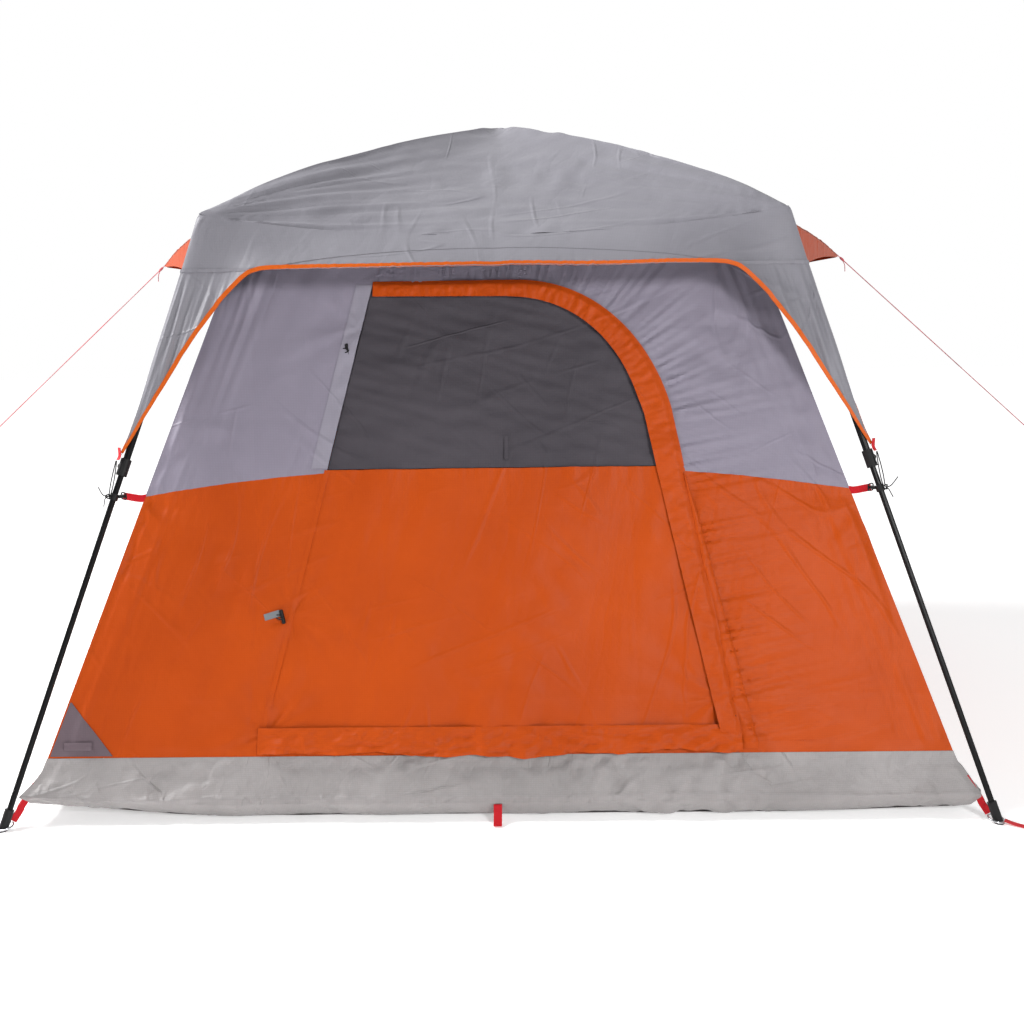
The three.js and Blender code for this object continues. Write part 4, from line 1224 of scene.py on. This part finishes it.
# ---------------------------------------------------------------- webbing, clips, ties and feet
def corner_fittings():
    for corner, (sx, sy) in CORNERS.items():
        leg = f"leg_{corner}"
        outward = np.array([sx, sy, 0]) / math.sqrt(2)
        sideways = np.array([-sy, sx, 0]) / math.sqrt(2)
        clip = leg_line(sx, sy, CLIP_Z)
        wall = np.array([sx, sy, 0]) * float(inner_half(CLIP_Z - 0.01)) + [0, 0, CLIP_Z - 0.012]
        webbing = [wall - outward * 0.004, wall + outward * 0.014, clip - outward * 0.040 + [0, 0, -0.003],
                   clip - outward * 0.027]
        strap(f"clip_webbing_{corner}", spline(webbing, 14), 0.020, sideways, 0.002, RED, leg)
        loop = [clip - outward * 0.028 + np.array([0, 0, h]) + sideways * s for s, h in
                ((-0.012, -0.008), (-0.012, 0.008), (0.012, 0.008), (0.012, -0.008), (-0.011, -0.0085))]
        tube(f"clip_loop_{corner}", spline(loop, 30), 0.0018, PLASTIC, leg, sides=8)
        tip = np.array([sx * (WING_TIP - 0.004), sy * (WING_TIP - 0.004), WING_TIP_Z - 0.001])
        tab_path = [tip + [0, 0, 0.022], tip, tip + (clip - tip) * 0.10 + outward * 0.004]
        strap(f"wing_tab_{corner}", spline(tab_path, 10), 0.014, outward, 0.002, RED, leg)
        hook = clip + outward * 0.012 + np.array([0, 0, 0.004])
        start = tip + (hook - tip) * 0.12 + outward * 0.006
        for strand, shift in enumerate((-0.0045, 0.0045)):
            path = spline([start + sideways * shift * 0.4, start + (hook - start) * 0.35 + sideways * shift * 1.5,
                           start + (hook - start) * 0.7 + sideways * shift * 1.8, hook + sideways * shift], 20)
            line = tube(f"elastic_tie_{corner}_{strand}", path, 0.0015, BLACK_CORD, leg, sides=8)
        knot_at = hook + outward * 0.004
        knot = [knot_at + sideways * 0.006 * math.cos(a * 2) + outward * 0.005 * math.sin(a)
                + np.array([0, 0, 0.006 * math.cos(a)]) for a in np.linspace(0, 2 * math.pi * 0.97, 30)]
        tube(f"tie_knot_{corner}", knot, 0.0018, BLACK_CORD, leg, sides=8)
        for number, (rise, reach) in enumerate(((0.030, 0.030), (-0.026, 0.018))):
            path = spline([knot_at, knot_at + outward * reach * 0.5 + [0, 0, rise * 0.2],
                           knot_at + outward * reach + sideways * 0.008 + [0, 0, rise]], 10)
            tube(f"tie_tail_{corner}_{number}", path, 0.0014, BLACK_CORD, leg, sides=6)
        foot = leg_line(sx, sy, 0.018)
        base = np.array([sx * (INNER_BOTTOM - 0.004), sy * (INNER_BOTTOM - 0.004), 0.042])
        upper = np.array([sx, sy, 0]) * (float(inner_half(0.10)) + 0.004) + [0, 0, 0.10]
        path = spline([upper, base + outward * 0.005 + [0, 0, 0.012], base + outward * 0.012,
                       foot - outward * 0.020], 20)
        strap(f"foot_webbing_{corner}", path, 0.020, sideways, 0.0022, RED, leg)
        ring = [foot + outward * 0.020 * math.cos(a) + sideways * 0.020 * math.sin(a)
                + [0, 0, -0.008 - 0.004 * math.cos(a)] for a in np.linspace(0, 2 * math.pi, 41)[:-1]]
        ring.append(ring[0])
        tube(f"foot_ring_{corner}", ring, 0.0024, STEEL, leg, sides=8)
        away = np.array([sx * 0.5, sy * 0.3, 0])
        away /= np.linalg.norm(away)
        tail = spline([foot + away * 0.020 + [0, 0, -0.008], foot + away * 0.045 + [0, 0, -0.013],
                       foot + away * 0.085 + [0, 0, -0.0155], foot + away * 0.125 + [0, 0, -0.0155]], 16)
        strap(f"peg_strap_{corner}", tail, 0.018, (0, 0, 1), 0.002, RED, leg)


PEG_LOOP = ((0.006, 0.046), (0.014, 0.026), (0.034, 0.006), (0.046, 0.0035), (0.050, 0.0065), (0.040, 0.010),
            (0.022, 0.026), (0.012, 0.046))


def peg_loops():
    for name, body, out in (("front", "leg_front_right", (0, -1, 0)), ("back", "leg_back_right", (0, 1, 0)),
                            ("left", "leg_front_left", (-1, 0, 0)), ("right", "leg_front_right", (1, 0, 0))):
        out = np.array(out, float)
        base = out * (INNER_BOTTOM - 0.006)
        path = [base + out * reach + [0, 0, height] for reach, height in PEG_LOOP]
        band_across(f"peg_loop_{name}", spline(path, 40), 0.022, (-out[1], out[0], 0), 0.0018, RED, body,
                    "front" if name in ("front", "back") else "side")


def toggles():
    """Loops and toggles that tie the rolled door back."""
    for number, (x_offset, z) in enumerate(((-0.024, 1.232), (-0.022, 0.517))):
        x = float(door_hinge_x(z)) + x_offset
        at = np.array([x, -float(inner_half(z)) - 0.006, z])
        across = np.array([0.25, -0.2, -0.95])
        across /= np.linalg.norm(across)
        body = [at + across * s for s in (-0.020, -0.016, 0.0, 0.016, 0.020)]
        radii = np.interp(np.linspace(0, 1, 16), [0, 0.15, 0.5, 0.85, 1], [0.002, 0.0052, 0.0058, 0.0052, 0.002])
        tube(f"toggle_{number}", spline(body, 16), radii, PLASTIC, "leg_front_left", sides=12, face="front")
        loop = [at + np.array([-0.018, 0.004, 0.004]), at + np.array([-0.006, -0.006, 0.006]),
                at + np.array([0.004, -0.009, 0.0]), at + np.array([-0.006, -0.006, -0.006]),
                at + np.array([-0.018, 0.004, -0.004])]
        tube(f"toggle_loop_{number}", spline(loop, 24), 0.0016, BLACK_CORD, "leg_front_left", sides=8,
             face="front")
        if number == 1:
            tab = [at + np.array([d, 0.003, 0.012 + 0.3 * d]) for d in (-0.050, -0.036, -0.022, -0.008)]
            strap("toggle_tab", tab, 0.018, FLAP_OUT, 0.002, GREY_TAB, "leg_front_left", face="front")
    z = 0.958
    path = [np.array([0.030, -float(inner_half(z + d)) - 0.003, z + d]) for d in (-0.032, -0.016, 0.0, 0.016, 0.032)]
    piece = strap("window_tab", path, 0.011, FLAP_OUT, 0.002, MESH, "door")
    door_fold(piece)


def corner_patch():
    """Grey triangle in the lower left corner with a covered cable port."""
    level, share = unit_steps(24, 24)
    z = TUB_Z + 0.004 + 0.135 * level + 0 * share
    left = -inner_half(z) + 0.006
    reach = 0.165 * (1 - level) + 0.004
    add_wall("port_patch", left + reach * share, z, "front_left", "front", PATCH, over=0.0022)
    z = TUB_Z + 0.030
    x = -float(inner_half(z)) + 0.035
    path = [np.array([x + d, -float(inner_half(z)) - 0.005, z]) for d in np.linspace(0, 0.075, 8)]
    strap("port_flap", path, 0.022, FLAP_OUT, 0.002, PATCH, "leg_front_left", arch=0.002, face="front")


corner_fittings()
peg_loops()
toggles()
corner_patch()


# ---------------------------------------------------------------- finish of the carried-over CAD parts
def finish_cad_parts():
    table = {
        "hub_upper": PLASTIC, "hub_lower": PLASTIC, "hub_hinge_ring": STEEL, "zip_slider": PLASTIC,
        "roof_pole": POLE, "leg_upper": POLE, "leg_lower": POLE, "elbow_pin": STEEL, "elbow": PLASTIC,
        "leg_collar": PLASTIC, "lock_button": PLASTIC, "foot_cap": PLASTIC, "pole_clip": PLASTIC,
    }
    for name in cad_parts:
        piece = bpy.data.objects.get(name)
        if piece is None or piece.type != "MESH":
            continue
        for start, material in table.items():
            if name.startswith(start):
                for place in piece.material_slots:
                    place.material = material
                if not piece.material_slots:
                    piece.data.materials.append(material)
                break


finish_cad_parts()


# ---------------------------------------------------------------- studio
SURROUND = 0.30
KEY = 660
FRONT = 218


def area_light(name, position, target, size, energy, color=(1, 1, 1)):
    data = bpy.data.lights.new(name, "AREA")
    data.shape = "RECTANGLE"
    data.size, data.size_y = size
    data.energy = energy
    data.color = color
    light = add_object(name, data)
    light.location = position
    light.rotation_euler = (Vector(target) - Vector(position)).to_track_quat("-Z", "Y").to_euler()


def studio():
    """Soft light: a white backdrop behind the tent, a softer surround and a large key from the front left."""
    world = bpy.data.worlds.new("studio")
    bpy.context.scene.world = world
    world.use_nodes = True
    tree = world.node_tree
    background = tree.nodes["Background"]
    background.inputs["Color"].default_value = (1.0, 1.0, 1.0, 1)
    split = tree.nodes.new("ShaderNodeSeparateXYZ")
    tree.links.new(tree.nodes.new("ShaderNodeTexCoord").outputs["Generated"], split.inputs["Vector"])
    level = add_node(tree, "MapRange", {"Value": split.outputs["Y"], "From Min": 0.1, "From Max": 0.75,
                                        "To Min": SURROUND, "To Max": 1.0}, interpolation_type="SMOOTHSTEP")
    seen = tree.nodes.new("ShaderNodeLightPath").outputs["Is Camera Ray"]
    tree.links.new(combine(tree, "MAXIMUM", level, seen), background.inputs["Strength"])
    area_light("key", (-4.8, -0.1, 5.0), (0, 0, 1.2), (2.4, 2.4), KEY)
    area_light("front", (2.8, -6.4, 3.2), (0.2, 0, 0.8), (1.3, 1.3), FRONT)
    floor_mesh = bpy.data.meshes.new("studio_floor")
    reach = 40.0
    floor_mesh.from_pydata([(-reach, -reach, 0), (reach, -reach, 0), (reach, reach, 0), (-reach, reach, 0)], [],
                           [(0, 1, 2, 3)])
    material, tree, shader = new_material("studio_floor")
    around = tree.nodes.new("ShaderNodeTexCoord").outputs["Object"]
    distance = add_node(tree, "VectorMath", {0: around}, operation="LENGTH")
    glow = add_node(tree, "MapRange", {"Value": distance, "From Min": 2.5, "From Max": 8.0, "To Min": 0.34,
                                       "To Max": 0.62})
    tree.links.new(glow, shader.inputs["Emission Strength"])
    shader.inputs["Base Color"].default_value = (0.95, 0.95, 0.95, 1)
    shader.inputs["Roughness"].default_value = 0.9
    shader.inputs["Emission Color"].default_value = (1, 1, 1, 1)
    floor_mesh.materials.append(material)
    add_object("studio_floor", floor_mesh)
    bpy.context.scene.view_settings.view_transform = "Standard"


studio()
